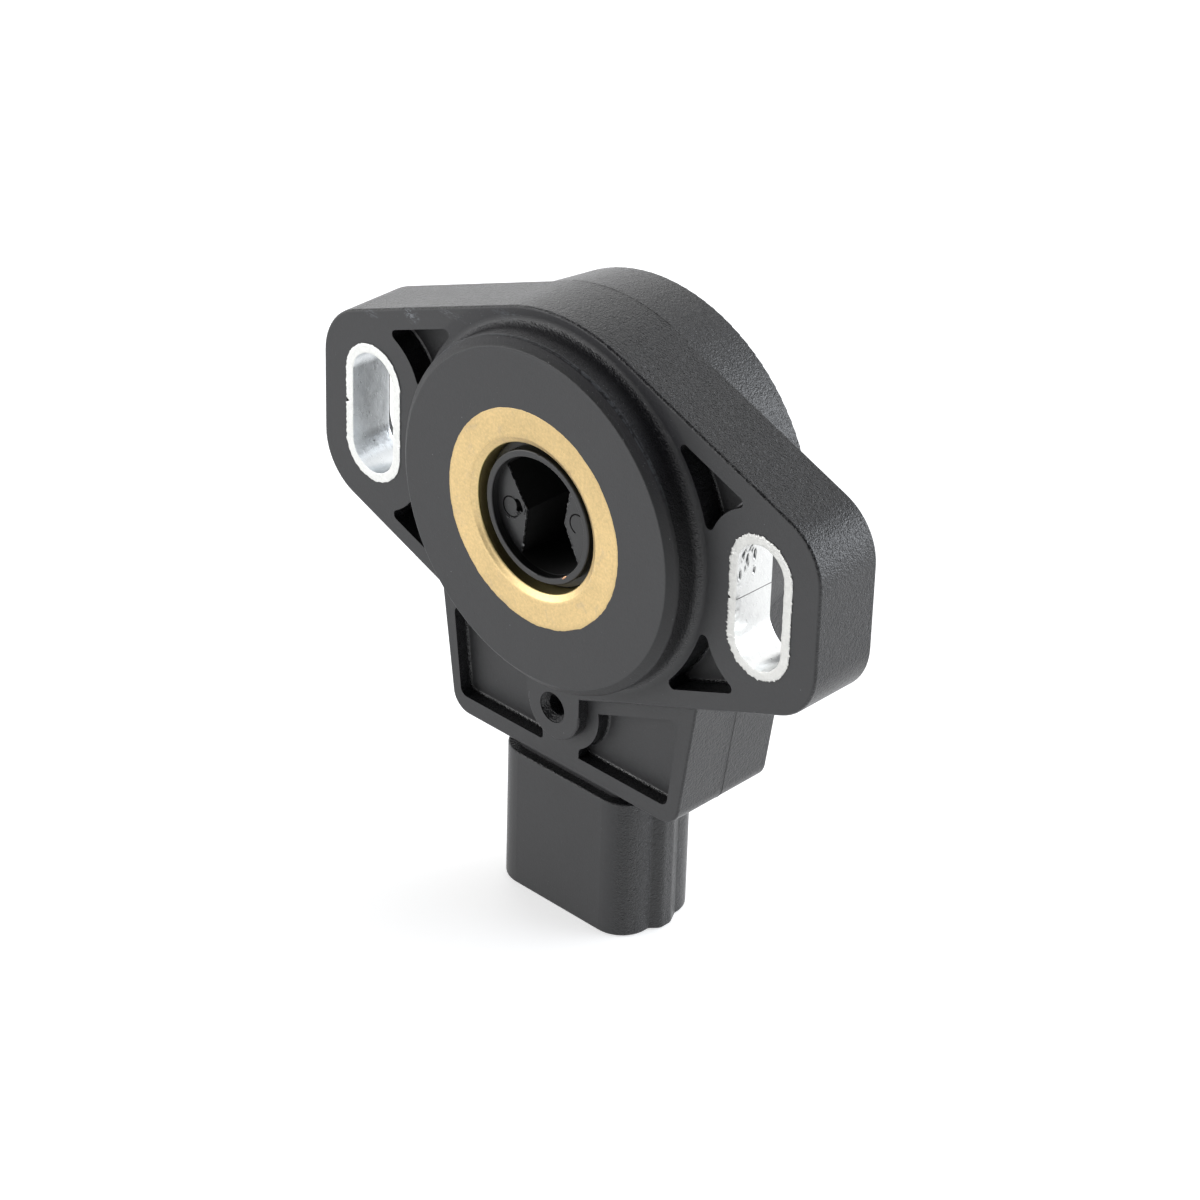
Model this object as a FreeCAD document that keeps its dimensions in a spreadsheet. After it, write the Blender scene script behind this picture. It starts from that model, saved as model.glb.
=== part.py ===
import FreeCAD, Part
import math
import os
import Sketcher
from FreeCAD import Vector, Rotation, Placement

# Throttle position sensor, in millimetres.
# Frame: the rotor's axis is Y, the flange's front (mounting) face is the
# plane y = 0 and its outward normal is -Y, +Z is up, the connector points
# down (-Z). Front means -Y, the side that goes against the throttle body.

doc = FreeCAD.newDocument("ThrottlePositionSensor")
sheet = doc.addObject("Spreadsheet::Sheet", "Dims")

VALUES = [
    # flange
    ("flange_half_length", 32.3), ("flange_arc_r", 19.75), ("flange_edge_angle", 21.4),
    ("ear_corner_r", 6.2), ("flange_keel_r", 2.0), ("flange_thick", 7.6), ("outline_round", 0.3),
    # rear recess of each ear, where the screw's head sits on the sleeve
    ("recess_floor_y", 4.5), ("recess_wall", 1.25), ("recess_corner_r", 4.8), ("recess_inner_x", 12.5),
    # coring pockets in the ears
    ("ear_pocket_depth", 2.45), ("ear_pocket_inner_r", 19.2), ("ear_pocket_wall", 2.15), ("ear_pocket_wall_low", 1.92),
    ("ear_pocket_boss_r", 6.37), ("ear_pocket_boss_x", 25.25), ("ear_pocket_boss_z", 3.45),
    ("ear_pocket_boss_low", 3.95), ("ear_pocket_tip_r", 0.55), ("pocket_floor_r", 0.3),
    # slots and sleeves
    ("slot_pitch_half", 25.3), ("slot_width", 7.54), ("slot_length", 14.75),
    ("sleeve_wall", 0.95), ("sleeve_proud", 0.06),
    ("seam_gap", 0.1), ("seam_z_left", 0.13), ("seam_z_right", -0.33), ("seam_skew", 0.12),
    ("seam_notch_left", 0.42), ("seam_notch_right", 0.25),
    # pilot disc and can
    ("disc_height", 3.57), ("disc_face_r", 17.0), ("disc_side_r", 17.9),
    ("disc_chamfer", 0.75), ("disc_root_r", 1.0), ("can_end_r", 19.04), ("can_end_y", 14.0), ("can_end_round", 0.22),
    # lower block
    ("block_rim_y", 1.3), ("block_rear_y", 13.75), ("block_top_x", 18.42), ("block_top_z", -5.7),
    ("block_low_x", 15.02), ("block_bottom", -29.5), ("block_corner_r", 2.3),
    ("block_rear_round", 0.25), ("block_floor_y", 2.8),
    ("block_in_low_left", -14.1), ("block_in_low_right", 13.75), ("block_in_low_z", -27.55),
    ("block_in_top_x", 15.3), ("block_strip", 21.55), ("block_in_corner_r", 0.9),
    # boss with the pin hole, between the two block pockets
    ("boss_x", -0.2), ("boss_z", -22.25), ("boss_shelf_r", 4.85), ("boss_tongue_r", 3.4),
    ("boss_neck_left", -2.75), ("boss_neck_right", 2.1), ("boss_neck_fillet", 0.7), ("boss_foot_fillet", 0.4),
    ("pin_hole_r", 1.62), ("pin_hole_depth", 0.12), ("pin_cone_r", 1.1), ("pin_cone_depth", 0.75), ("pin_core_depth", 3.2),
    # connector
    ("neck_half_x", 7.96), ("neck_front_y", 2.0), ("neck_rear_y", 10.9), ("neck_corner_r", 2.23),
    ("conn_half_x", 9.03), ("conn_front_y", 0.93), ("conn_rear_y", 11.96), ("conn_corner_r", 3.3),
    ("conn_top_z", -30.35), ("conn_end_z", -45.85), ("conn_round", 0.3),
    ("key_out_x", 9.83), ("key_root_front_y", 4.7), ("key_front_y", 5.6), ("key_rear_y", 7.0),
    ("key_root_rear_y", 8.45), ("key_round", 1.0), ("key_root_r", 0.4),
    ("cavity_half_x", 8.03), ("cavity_front_y", 1.93), ("cavity_rear_y", 10.97),
    ("cavity_corner_r", 2.3), ("cavity_floor_z", -33.35), ("mouth_lead", 0.3),
    # bush
    ("bush_r", 11.0), ("bush_bore_r", 7.55), ("bush_mouth_r", 8.15), ("bush_mouth_y", -3.2),
    ("bush_rear_y", 2.5), ("bush_groove_r", 10.3), ("bush_groove_front", -1.0),
    ("bush_groove_rear", 0.2), ("bush_rear_lead", 0.3),
    # inside of the housing, behind the disc
    ("boss_ring_r", 12.6), ("boss_ring_y", 4.0), ("seal_seat_r", 9.8),
    ("spring_room_r", 16.0), ("spring_floor_y", -1.3), ("board_ledge_y", 8.2),
    ("board_room_r", 17.0), ("cover_ledge_y", 12.0), ("cover_room_r", 18.0),
    ("stop_inner_r", 13.2), ("stop_front_y", 3.9), ("stop_rear_y", 6.2), ("stop_width", 4.5),
    ("stop_angle_closed", 159.55), ("stop_angle_open", 21.25),
    ("spring_notch_r", 17.3), ("spring_notch_width", 1.1), ("spring_notch_rear", 0.1),
    # rotor
    ("rotor_face_y", -2.95), ("neck_r", 6.72), ("socket_r", 6.0), ("shoulder_y", -1.6),
    ("journal_r", 7.5), ("web_y", -2.05), ("socket_floor_y", 4.9), ("web_half_gap", 2.48),
    ("bow_apex_shift", 0.26), ("bow_apex_left_z", -0.46), ("bow_apex_right_z", 0.33),
    ("bow_up_left", 145.06), ("bow_low_left", -117.84), ("bow_low_right", -37.41), ("bow_up_right", 52.09),
    ("mark_left_x", -4.25), ("mark_left_z", -0.90), ("mark_right_x", 4.45), ("mark_right_z", 0.72),
    ("rotor_flange_r", 11.9), ("rotor_flange_front", 4.55), ("rotor_flange_rear", 6.4),
    ("lug_r", 15.3), ("lug_width", 4.2), ("lug_slot", 1.1), ("lug_slot_floor_r", 13.4),
    ("lug_angle", 140.4), ("hub_r", 4.5), ("hub_rear_y", 9.4), ("stub_r", 2.5), ("stub_rear_y", 12.3),
    ("stake_r", 0.7), ("stake_x", 9.6), ("stake_z", 2.6), ("stake_height", 0.45), ("stake_head_r", 1.15),
    ("ejector_mark_r", 1.04), ("ejector_mark_half", 0.08), ("ejector_mark_depth", 0.16),
    ("torn_x", -3.19), ("torn_z", -0.43), ("torn_depth", 0.6),
    # seal, washers
    ("seal_bore_r", 7.54), ("seal_front_y", 2.55), ("seal_rear_y", 3.9),
    ("thrust_bore_r", 7.8), ("thrust_r", 11.5), ("thrust_thick", 0.5),
    ("preload_bore_r", 2.75), ("preload_r", 4.4), ("preload_thick", 0.2), ("preload_rise", 0.2),
    # return spring
    ("spring_coil_r", 14.3), ("spring_wire_r", 0.4), ("spring_turns", 3.0), ("spring_pitch", 1.0),
    ("spring_front_y", -0.75), ("spring_tail_y", 6.1),
    # wiper
    ("wiper_thick", 0.25), ("finger_width", 1.3),
    ("collector_r", 8.4), ("track_r", 11.9), ("finger_gap", 0.03),
    # board
    ("board_r", 16.9), ("board_thick", 1.0), ("board_hole_r", 5.3), ("track_height", 0.06),
    ("track_width", 2.2), ("pin_pitch", 5.0), ("pin_z", -13.4), ("pin_width", 1.2),
    ("board_pin_hole_r", 0.85), ("pad_r", 1.35),
    # terminals
    ("blade_y", 6.45), ("blade_thick", 0.8), ("blade_width", 2.3), ("blade_tip_z", -43.2),
    ("blade_step_z", -18.5), ("blade_tip_chamfer", 0.5), ("pin_rear_y", 10.2),
    ("solder_height", 0.75),
    # cover
    ("cover_r", 17.9), ("cover_plate_y", 12.05), ("cover_rear_y", 13.7), ("cover_skirt_in", 15.3),
    ("cover_skirt_r", 16.9), ("cover_skirt_front", 9.25), ("cover_groove_r", 16.1),
    ("cover_groove_front", 10.1), ("cover_groove_rear", 11.1), ("cover_boss_r", 5.0),
    ("cover_boss_front", 9.9), ("cover_bore_r", 2.56), ("cover_bore_end", 12.5),
    ("cover_dish_r", 13.5), ("cover_dish_y", 13.1),
    ("cover_seal_r", 16.55), ("cover_seal_wire", 0.44),
]
for row, (name, value) in enumerate(VALUES, start=1):
    sheet.set("A%d" % row, name)
    sheet.set("B%d" % row, repr(value))
    sheet.setAlias("B%d" % row, name)
doc.recompute()


class Size:
    """A number with the expression that gives it from the sheet."""

    def __init__(self, value, text):
        self.value = float(value)
        self.text = text

    @staticmethod
    def of(other):
        return other if isinstance(other, Size) else Size(other, repr(float(other)))

    def __add__(self, o):
        o = Size.of(o)
        return Size(self.value + o.value, "(%s + %s)" % (self.text, o.text))

    __radd__ = __add__

    def __sub__(self, o):
        o = Size.of(o)
        return Size(self.value - o.value, "(%s - %s)" % (self.text, o.text))

    def __rsub__(self, o):
        return Size.of(o) - self

    def __mul__(self, o):
        o = Size.of(o)
        return Size(self.value * o.value, "(%s * %s)" % (self.text, o.text))

    __rmul__ = __mul__

    def __truediv__(self, o):
        o = Size.of(o)
        return Size(self.value / o.value, "(%s / %s)" % (self.text, o.text))

    def __neg__(self):
        return Size(-self.value, "(-1 * %s)" % self.text)


def cosd(q):
    return Size(math.cos(math.radians(q.value)), "cos(%s)" % q.text)


def sind(q):
    return Size(math.sin(math.radians(q.value)), "sin(%s)" % q.text)


class Dims:
    def __getattr__(self, name):
        return Size(getattr(sheet, name), "Dims." + name)


D = Dims()
num = Size.of


def bind(obj, prop, q):
    q = num(q)
    obj.setExpression(prop, q.text)


def plane(body, role):
    for o in body.Origin.OriginFeatures:
        if o.Role == role:
            return o
    raise RuntimeError(role)


def new_body(label):
    b = doc.addObject("PartDesign::Body", label)
    b.Label = label
    return b


# Outlines face the front (XZ, offset along y), the top (XY, offset along z)
# or the side (YZ, offset along x).
def sketch(body, name, role="XZ_Plane", at=0.0):
    sk = body.newObject("Sketcher::SketchObject", name)
    sk.AttachmentSupport = [(plane(body, role), "")]
    sk.MapMode = "FlatFace"
    off = num(at)
    if role == "XZ_Plane":
        off = -off
    sk.AttachmentOffset = Placement(Vector(0, 0, off.value), Rotation())
    sk.setExpression("AttachmentOffset.Base.z", off.text)
    return sk


def fix(sk, kind, geo, pos, q):
    q = num(q)
    i = sk.addConstraint(Sketcher.Constraint(kind, -1, 1, geo, pos, q.value))
    sk.setExpression("Constraints[%d]" % i, q.text)


def radius(sk, geo, q):
    i = sk.addConstraint(Sketcher.Constraint("Radius", geo, q.value))
    sk.setExpression("Constraints[%d]" % i, q.text)


def polygon(sk, points):
    pts = [(num(a), num(b)) for a, b in points]
    n = len(pts)
    first = sk.GeometryCount
    for i in range(n):
        a, b = pts[i], pts[(i + 1) % n]
        sk.addGeometry(Part.LineSegment(Vector(a[0].value, a[1].value, 0), Vector(b[0].value, b[1].value, 0)), False)
    for i in range(n):
        sk.addConstraint(Sketcher.Constraint("Coincident", first + i, 2, first + (i + 1) % n, 1))
    for i in range(n):
        fix(sk, "DistanceX", first + i, 1, pts[i][0])
        fix(sk, "DistanceY", first + i, 1, pts[i][1])
    return sk


def rectangle(sk, x0, x1, y0, y1):
    return polygon(sk, [(x0, y0), (x1, y0), (x1, y1), (x0, y1)])


def circle(sk, cx, cy, r):
    cx, cy, r = num(cx), num(cy), num(r)
    g = sk.addGeometry(Part.Circle(Vector(cx.value, cy.value, 0), Vector(0, 0, 1), r.value), False)
    radius(sk, g, r)
    fix(sk, "DistanceX", g, 3, cx)
    fix(sk, "DistanceY", g, 3, cy)
    return sk


def arc(cx, cy, r, a0, a1):
    return Part.ArcOfCircle(Part.Circle(Vector(cx, cy, 0), Vector(0, 0, 1), r), a0, a1)


def stadium(sk, cx, cy, half, r):
    """Upright slot outline: end centres at cy +- half, end radius r."""
    cx, cy, half, r = num(cx), num(cy), num(half), num(r)
    x, top, low, rr = cx.value, cy.value + half.value, cy.value - half.value, r.value
    g = sk.addGeometry(arc(x, top, rr, 0, math.pi), False)
    sk.addGeometry(Part.LineSegment(Vector(x - rr, top, 0), Vector(x - rr, low, 0)), False)
    sk.addGeometry(arc(x, low, rr, math.pi, 2 * math.pi), False)
    sk.addGeometry(Part.LineSegment(Vector(x + rr, low, 0), Vector(x + rr, top, 0)), False)
    sk.addConstraint(Sketcher.Constraint("Tangent", g, 2, g + 1, 1))
    sk.addConstraint(Sketcher.Constraint("Tangent", g + 1, 2, g + 2, 1))
    sk.addConstraint(Sketcher.Constraint("Tangent", g + 2, 2, g + 3, 1))
    sk.addConstraint(Sketcher.Constraint("Tangent", g + 3, 2, g, 1))
    fix(sk, "DistanceX", g, 3, cx)
    fix(sk, "DistanceY", g, 3, cy + half)
    fix(sk, "DistanceX", g + 2, 3, cx)
    fix(sk, "DistanceY", g + 2, 3, cy - half)
    radius(sk, g, r)
    return sk


def pad(body, sk, length, reverse=False, midplane=False):
    f = body.newObject("PartDesign::Pad", sk.Name + "Pad")
    f.Profile = sk
    length = num(length)
    f.Length = length.value
    bind(f, "Length", length)
    f.Reversed = reverse
    if midplane:
        f.SideType = "Symmetric"
    sk.Visibility = False
    body.Tip = f
    doc.recompute()
    return f


def pad_y(body, name, draw, y0, y1):
    """Adds the outline drawn in the XZ plane between y0 and y1."""
    y0, y1 = num(y0), num(y1)
    sk = sketch(body, name, "XZ_Plane", y0)
    draw(sk)
    return pad(body, sk, y1 - y0, reverse=True)


def pocket(body, sk, length, reverse=False):
    before = body.Tip.Shape.Volume
    f = body.newObject("PartDesign::Pocket", sk.Name + "Cut")
    f.Profile = sk
    length = num(length)
    f.Length = length.value
    bind(f, "Length", length)
    f.Reversed = reverse
    body.Tip = f
    doc.recompute()
    if not f.Shape.Volume < before - 1e-4:
        raise RuntimeError("%s cuts nothing" % f.Name)
    return f


def pocket_y(body, name, draw, y0, y1):
    """Cuts the outline drawn in the XZ plane from y0 back to y1."""
    y0, y1 = num(y0), num(y1)
    sk = sketch(body, name, "XZ_Plane", y0)
    draw(sk)
    return pocket(body, sk, y1 - y0)


def turn(body, name, points, cut=False):
    """Revolves a closed (radius, y) profile about the rotor's axis."""
    sk = sketch(body, name, "XY_Plane", 0)
    polygon(sk, points)
    before = body.Tip.Shape.Volume if (cut and body.Tip) else None
    f = body.newObject("PartDesign::Groove" if cut else "PartDesign::Revolution", sk.Name + "Turn")
    f.Profile = sk
    f.ReferenceAxis = (sk, ["V_Axis"])
    f.Angle = 360.0
    body.Tip = f
    doc.recompute()
    if cut and not f.Shape.Volume < before - 1e-4:
        raise RuntimeError("%s cuts nothing" % f.Name)
    return f


def edges(shape, test):
    found = []
    for i, e in enumerate(shape.Edges, start=1):
        if e.Length < 1e-6:
            continue
        p = e.valueAt((e.FirstParameter + e.LastParameter) / 2.0)
        a, b = e.valueAt(e.FirstParameter), e.valueAt(e.LastParameter)
        if test(e, p, a, b):
            found.append("Edge%d" % i)
    return found


def dress(body, kind, test, size, name):
    """Fillets or chamfers the edges that the test picks on the body's tip."""
    base = body.Tip
    names = edges(base.Shape, test)
    if not names:
        raise RuntimeError("%s finds no edge" % name)
    f = body.newObject("PartDesign::" + kind, name)
    f.Base = (base, names)
    q = num(size)
    prop = "Radius" if kind == "Fillet" else "Size"
    setattr(f, prop, q.value)
    bind(f, prop, q)
    body.Tip = f
    doc.recompute()
    if not f.isValid() or f.Shape.isNull() or not f.Shape.isValid() or len(f.Shape.Solids) != 1:
        raise RuntimeError("%s fails on %s" % (name, names))
    return f


def along_y(e, a, b):
    d = b - a
    return isinstance(e.Curve, Part.Line) and abs(d.x) < 1e-6 and abs(d.z) < 1e-6


def along_z(e, a, b):
    d = b - a
    return isinstance(e.Curve, Part.Line) and abs(d.x) < 1e-6 and abs(d.y) < 1e-6


def flat_y(a, b, p, y, tol=1e-4):
    return abs(a.y - y) < tol and abs(b.y - y) < tol and abs(p.y - y) < tol


# ------------------------------------------------------------------ housing
housing = new_body("housing")
SHARP = []


def soften(kind, test, size, name):
    """Small edge rounding; an edge that can't take it stays sharp."""
    base = housing.Tip
    try:
        dress(housing, kind, test, size, name)
    except Exception:
        f = doc.getObject(name)
        if f is not None:
            housing.removeObject(f)
            doc.removeObject(f.Name)
        housing.Tip = base
        doc.recompute()
        SHARP.append(name)


# Flange plate: two lines tangent to the central arc above. Below, the lines
# run on to a blunt keel behind the pin boss. The ends are square, and the
# corners are rounded afterwards, so every arc is tangent.
ca, sa = cosd(D.flange_edge_angle), sind(D.flange_edge_angle)
apex = D.flange_arc_r / ca
corner = (D.flange_arc_r - D.flange_half_length * sa) / ca
pad_y(housing, "FlangeOutline", lambda s: polygon(s, [
    (0, -apex), (D.flange_half_length, -corner), (D.flange_half_length, corner),
    (0, apex), (-D.flange_half_length, corner), (-D.flange_half_length, -corner)]), 0, D.flange_thick)
dress(housing, "Fillet", lambda e, p, a, b: along_y(e, a, b) and abs(p.x) < 0.01 and p.z > 0, D.flange_arc_r, "FlangeArc")
dress(housing, "Fillet", lambda e, p, a, b: along_y(e, a, b) and abs(p.x) < 0.01 and p.z < 0, D.flange_keel_r, "FlangeKeel")
dress(housing, "Fillet", lambda e, p, a, b: along_y(e, a, b) and abs(abs(p.x) - D.flange_half_length.value) < 0.01,
      D.ear_corner_r, "EarCorners")
soften("Fillet", lambda e, p, a, b: flat_y(a, b, p, 0), D.outline_round, "FlangeFrontRim")
soften("Fillet", lambda e, p, a, b: flat_y(a, b, p, D.flange_thick.value) and abs(p.x) > 20, 0.2, "EarRearRim")

# Rear recess of each ear: the ear's outline set in by the wall, open at the
# back and bounded on the inside by the can's wall.
rec_line = D.flange_arc_r - D.recess_wall
rec_end = D.flange_half_length - D.recess_wall
rec_corner = (rec_line - rec_end * sa) / ca
rec_inner_z = (rec_line - D.recess_inner_x * sa) / ca
for name, sx in (("RecessLeft", -1), ("RecessRight", 1)):
    pocket_y(housing, name, lambda s: polygon(s, [
        (sx * D.recess_inner_x, -rec_inner_z), (sx * rec_end, -rec_corner),
        (sx * rec_end, rec_corner), (sx * D.recess_inner_x, rec_inner_z)]), D.recess_floor_y, D.flange_thick + 0.5)
    dress(housing, "Fillet", lambda e, p, a, b: along_y(e, a, b) and abs(p.x - sx * rec_end.value) < 0.01
          and abs(abs(p.z) - rec_corner.value) < 0.01, D.recess_corner_r, name + "Corners")

# Lower block behind its rim plane; its sides lean and run up into the can.
pad_y(housing, "BlockOutline", lambda s: polygon(s, [
    (-D.block_low_x, D.block_bottom), (D.block_low_x, D.block_bottom),
    (D.block_top_x, D.block_top_z), (-D.block_top_x, D.block_top_z)]), D.block_rim_y, D.block_rear_y)
dress(housing, "Fillet", lambda e, p, a, b: along_y(e, a, b) and abs(p.z - D.block_bottom.value) < 0.01,
      D.block_corner_r, "BlockCorners")


def block_rim(y):
    def test(e, p, a, b):
        if not flat_y(a, b, p, y):
            return False
        side = abs(p.x) - (D.block_low_x.value + (p.z - D.block_bottom.value) *
                           (D.block_top_x.value - D.block_low_x.value) / (D.block_top_z.value - D.block_bottom.value))
        if abs(side) < 0.02 or abs(p.z - D.block_bottom.value) < 0.02:
            return True
        return isinstance(e.Curve, Part.Circle) and abs(e.Curve.Radius - D.block_corner_r.value) < 0.01 and p.z < -26
    return test


soften("Fillet", block_rim(D.block_rim_y.value), 0.25, "BlockFrontRim")
soften("Fillet", block_rim(D.block_rear_y.value), D.block_rear_round, "BlockRearRim")

# Neck, connector shroud and its key.
sk = sketch(housing, "NeckOutline", "XY_Plane", D.conn_top_z - 0.2)
rectangle(sk, -D.neck_half_x, D.neck_half_x, D.neck_front_y, D.neck_rear_y)
pad(housing, sk, D.block_bottom - D.conn_top_z + 1.2)
dress(housing, "Fillet", lambda e, p, a, b: along_z(e, a, b) and abs(abs(p.x) - D.neck_half_x.value) < 0.01
      and p.z < -29.5, D.neck_corner_r, "NeckCorners")
sk = sketch(housing, "ShroudOutline", "XY_Plane", D.conn_end_z)
rectangle(sk, -D.conn_half_x, D.conn_half_x, D.conn_front_y, D.conn_rear_y)
pad(housing, sk, D.conn_top_z - D.conn_end_z)
dress(housing, "Fillet", lambda e, p, a, b: along_z(e, a, b) and abs(abs(p.x) - D.conn_half_x.value) < 0.01,
      D.conn_corner_r, "ShroudCorners")
sk = sketch(housing, "KeyOutline", "XY_Plane", D.conn_end_z)
polygon(sk, [
    (D.conn_half_x - 0.5, D.key_root_front_y), (D.conn_half_x, D.key_root_front_y), (D.key_out_x, D.key_front_y),
    (D.key_out_x, D.key_rear_y), (D.conn_half_x, D.key_root_rear_y), (D.conn_half_x - 0.5, D.key_root_rear_y)])
pad(housing, sk, D.conn_top_z - D.conn_end_z)
dress(housing, "Fillet", lambda e, p, a, b: along_z(e, a, b) and abs(p.x - D.key_out_x.value) < 0.01,
      D.key_round, "KeyRound")
soften("Fillet", lambda e, p, a, b: along_z(e, a, b) and abs(p.x - D.conn_half_x.value) < 0.01
       and abs(p.y - D.key_root_front_y.value) < 0.01, D.key_root_r, "KeyRoot")


def flat_z(e, p, a, b, z):
    return abs(a.z - z) < 1e-4 and abs(b.z - z) < 1e-4 and abs(p.z - z) < 1e-4


# Socket for the harness plug, cut before the rim's edges are eased.
sk = sketch(housing, "SocketOutline", "XY_Plane", D.conn_end_z - 1)
rectangle(sk, -D.cavity_half_x, D.cavity_half_x, D.cavity_front_y, D.cavity_rear_y)
pocket(housing, sk, D.cavity_floor_z - D.conn_end_z + 1, reverse=True)
dress(housing, "Fillet", lambda e, p, a, b: along_z(e, a, b) and abs(abs(p.x) - D.cavity_half_x.value) < 0.01
      and p.z < -34, D.cavity_corner_r, "SocketCorners")


def rim_inside(e, p):
    """True on the socket's own edge of the shroud's end."""
    if isinstance(e.Curve, Part.Circle):
        return abs(e.Curve.Radius - D.cavity_corner_r.value) < 0.01
    return abs(p.x) < D.cavity_half_x.value + 0.05 and D.cavity_front_y.value - 0.05 < p.y < D.cavity_rear_y.value + 0.05


soften("Fillet", lambda e, p, a, b: flat_z(e, p, a, b, D.conn_end_z.value) and not rim_inside(e, p),
       D.conn_round, "ShroudEndEdge")
soften("Chamfer", lambda e, p, a, b: flat_z(e, p, a, b, D.conn_end_z.value) and rim_inside(e, p),
       D.mouth_lead, "SocketMouth")
soften("Fillet", lambda e, p, a, b: flat_z(e, p, a, b, D.conn_top_z.value)
       and (abs(p.x) > D.neck_half_x.value + 0.2 or p.y < D.neck_front_y.value - 0.2 or p.y > D.neck_rear_y.value + 0.2),
       0.22, "ShroudTopEdge")

# Tongue for the pin hole, level with the flange's front face.
pad_y(housing, "TongueEnd", lambda s: circle(s, D.boss_x, D.boss_z, D.boss_tongue_r), 0, D.block_floor_y)
pad_y(housing, "TongueRoot", lambda s: rectangle(
    s, D.boss_x - D.boss_tongue_r, D.boss_x + D.boss_tongue_r, D.boss_z, -17), 0, D.block_floor_y)

# The block's two front pockets, left and right of the shelf around the boss:
# one pocket whose middle is filled again by the shelf and the tongue.
def strip_z(x):
    """Lower edge of the strip under the flange, at half-width x."""
    return -(D.block_strip - x * sa) / ca


strip_apex = -(D.block_strip / ca)
pocket_y(housing, "BlockPockets", lambda s: polygon(s, [
    (D.block_in_low_left, D.block_in_low_z), (D.block_in_low_right, D.block_in_low_z),
    (D.block_in_top_x - 0.25, strip_z(D.block_in_top_x - 0.25)),
    (0, strip_apex),
    (-D.block_in_top_x, strip_z(D.block_in_top_x))]), 0, D.block_floor_y)
dress(housing, "Fillet", lambda e, p, a, b: along_y(e, a, b) and 1.4 < abs(a.y - b.y) < 1.6
      and abs(abs(p.x) - 14.6) < 1.0, D.block_in_corner_r, "PocketCorners")
pad_y(housing, "BossShelf", lambda s: circle(s, D.boss_x, D.boss_z, D.boss_shelf_r), D.block_rim_y, D.block_floor_y + 0.5)
pad_y(housing, "BossNeck", lambda s: rectangle(
    s, D.boss_neck_left, D.boss_neck_right, D.block_in_low_z - 0.5, D.boss_z - 3), D.block_rim_y, D.block_floor_y + 0.5)
pad_y(housing, "TongueEndTop", lambda s: circle(s, D.boss_x, D.boss_z, D.boss_tongue_r), 0, D.block_floor_y)
soften("Fillet", lambda e, p, a, b: along_y(e, a, b) and abs(abs(a.y - b.y) - 1.5) < 0.01
       and -27.4 < p.z < -25.5 and -4 < p.x < 3.5, D.boss_neck_fillet, "NeckFillets")
soften("Fillet", lambda e, p, a, b: along_y(e, a, b) and abs(abs(a.y - b.y) - 1.5) < 0.01
       and abs(p.x - D.boss_neck_left.value) < 0.02 and abs(p.z - D.block_in_low_z.value) < 0.02,
       D.boss_foot_fillet, "NeckFoot")
soften("Fillet", lambda e, p, a, b: flat_y(a, b, p, D.block_floor_y.value) and -28 < p.z < -16 and abs(p.x) < 16,
       D.pocket_floor_r, "BlockPocketFloor")
soften("Fillet", lambda e, p, a, b: flat_y(a, b, p, 0) and isinstance(e.Curve, Part.Circle)
       and abs(e.Curve.Radius - D.boss_tongue_r.value) < 0.01, 0.2, "TongueEdge")

# Pin hole: a shallow countersink, then the bore.
pocket_y(housing, "PinHole", lambda s: circle(s, D.boss_x - 0.1, D.boss_z, D.pin_hole_r), 0, D.pin_hole_depth)
pocket_y(housing, "PinBore", lambda s: circle(s, D.boss_x - 0.1, D.boss_z, D.pin_cone_r), 0, D.pin_core_depth)
cone = housing.newObject("PartDesign::SubtractiveCone", "PinCone")
cone.AttachmentSupport = [(plane(housing, "XZ_Plane"), "")]
cone.MapMode = "FlatFace"
for prop, q in (("Radius1", D.pin_cone_r), ("Radius2", D.pin_hole_r), ("Height", D.pin_cone_depth - D.pin_hole_depth)):
    setattr(cone, prop, q.value)
    bind(cone, prop, q)
cone.AttachmentOffset = Placement(Vector(D.boss_x.value - 0.1, D.boss_z.value, -D.pin_cone_depth.value), Rotation())
bind(cone, "AttachmentOffset.Base.x", D.boss_x - 0.1)
bind(cone, "AttachmentOffset.Base.y", D.boss_z)
bind(cone, "AttachmentOffset.Base.z", -D.pin_cone_depth)
housing.Tip = cone
doc.recompute()

# Pilot disc in front of the flange and can behind it: one turned form about
# the rotor's axis.
turn(housing, "DiscAndCan", [
    (0, -D.disc_height), (D.disc_face_r, -D.disc_height),
    (D.disc_side_r, D.disc_chamfer - D.disc_height), (D.disc_side_r, D.recess_floor_y - 0.5),
    (D.flange_arc_r, D.recess_floor_y - 0.5), (D.flange_arc_r, D.flange_thick),
    (D.can_end_r, D.can_end_y), (0, D.can_end_y)])
soften("Fillet", lambda e, p, a, b: flat_y(a, b, p, 0) and isinstance(e.Curve, Part.Circle)
       and abs(e.Curve.Radius - D.disc_side_r.value) < 0.01, D.disc_root_r, "DiscRoot")
soften("Fillet", lambda e, p, a, b: flat_y(a, b, p, -D.disc_height.value) and isinstance(e.Curve, Part.Circle)
       and abs(e.Curve.Radius - D.disc_face_r.value) < 0.01, 0.25, "DiscFaceEdge")
soften("Fillet", lambda e, p, a, b: isinstance(e.Curve, Part.Circle)
       and abs(e.Curve.Radius - D.disc_side_r.value) < 0.01
       and flat_y(a, b, p, D.disc_chamfer.value - D.disc_height.value), 0.4, "DiscSideEdge")
soften("Fillet", lambda e, p, a, b: flat_y(a, b, p, D.can_end_y.value) and isinstance(e.Curve, Part.Circle)
       and abs(e.Curve.Radius - D.can_end_r.value) < 0.01, D.can_end_round, "CanEndEdge")

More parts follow.
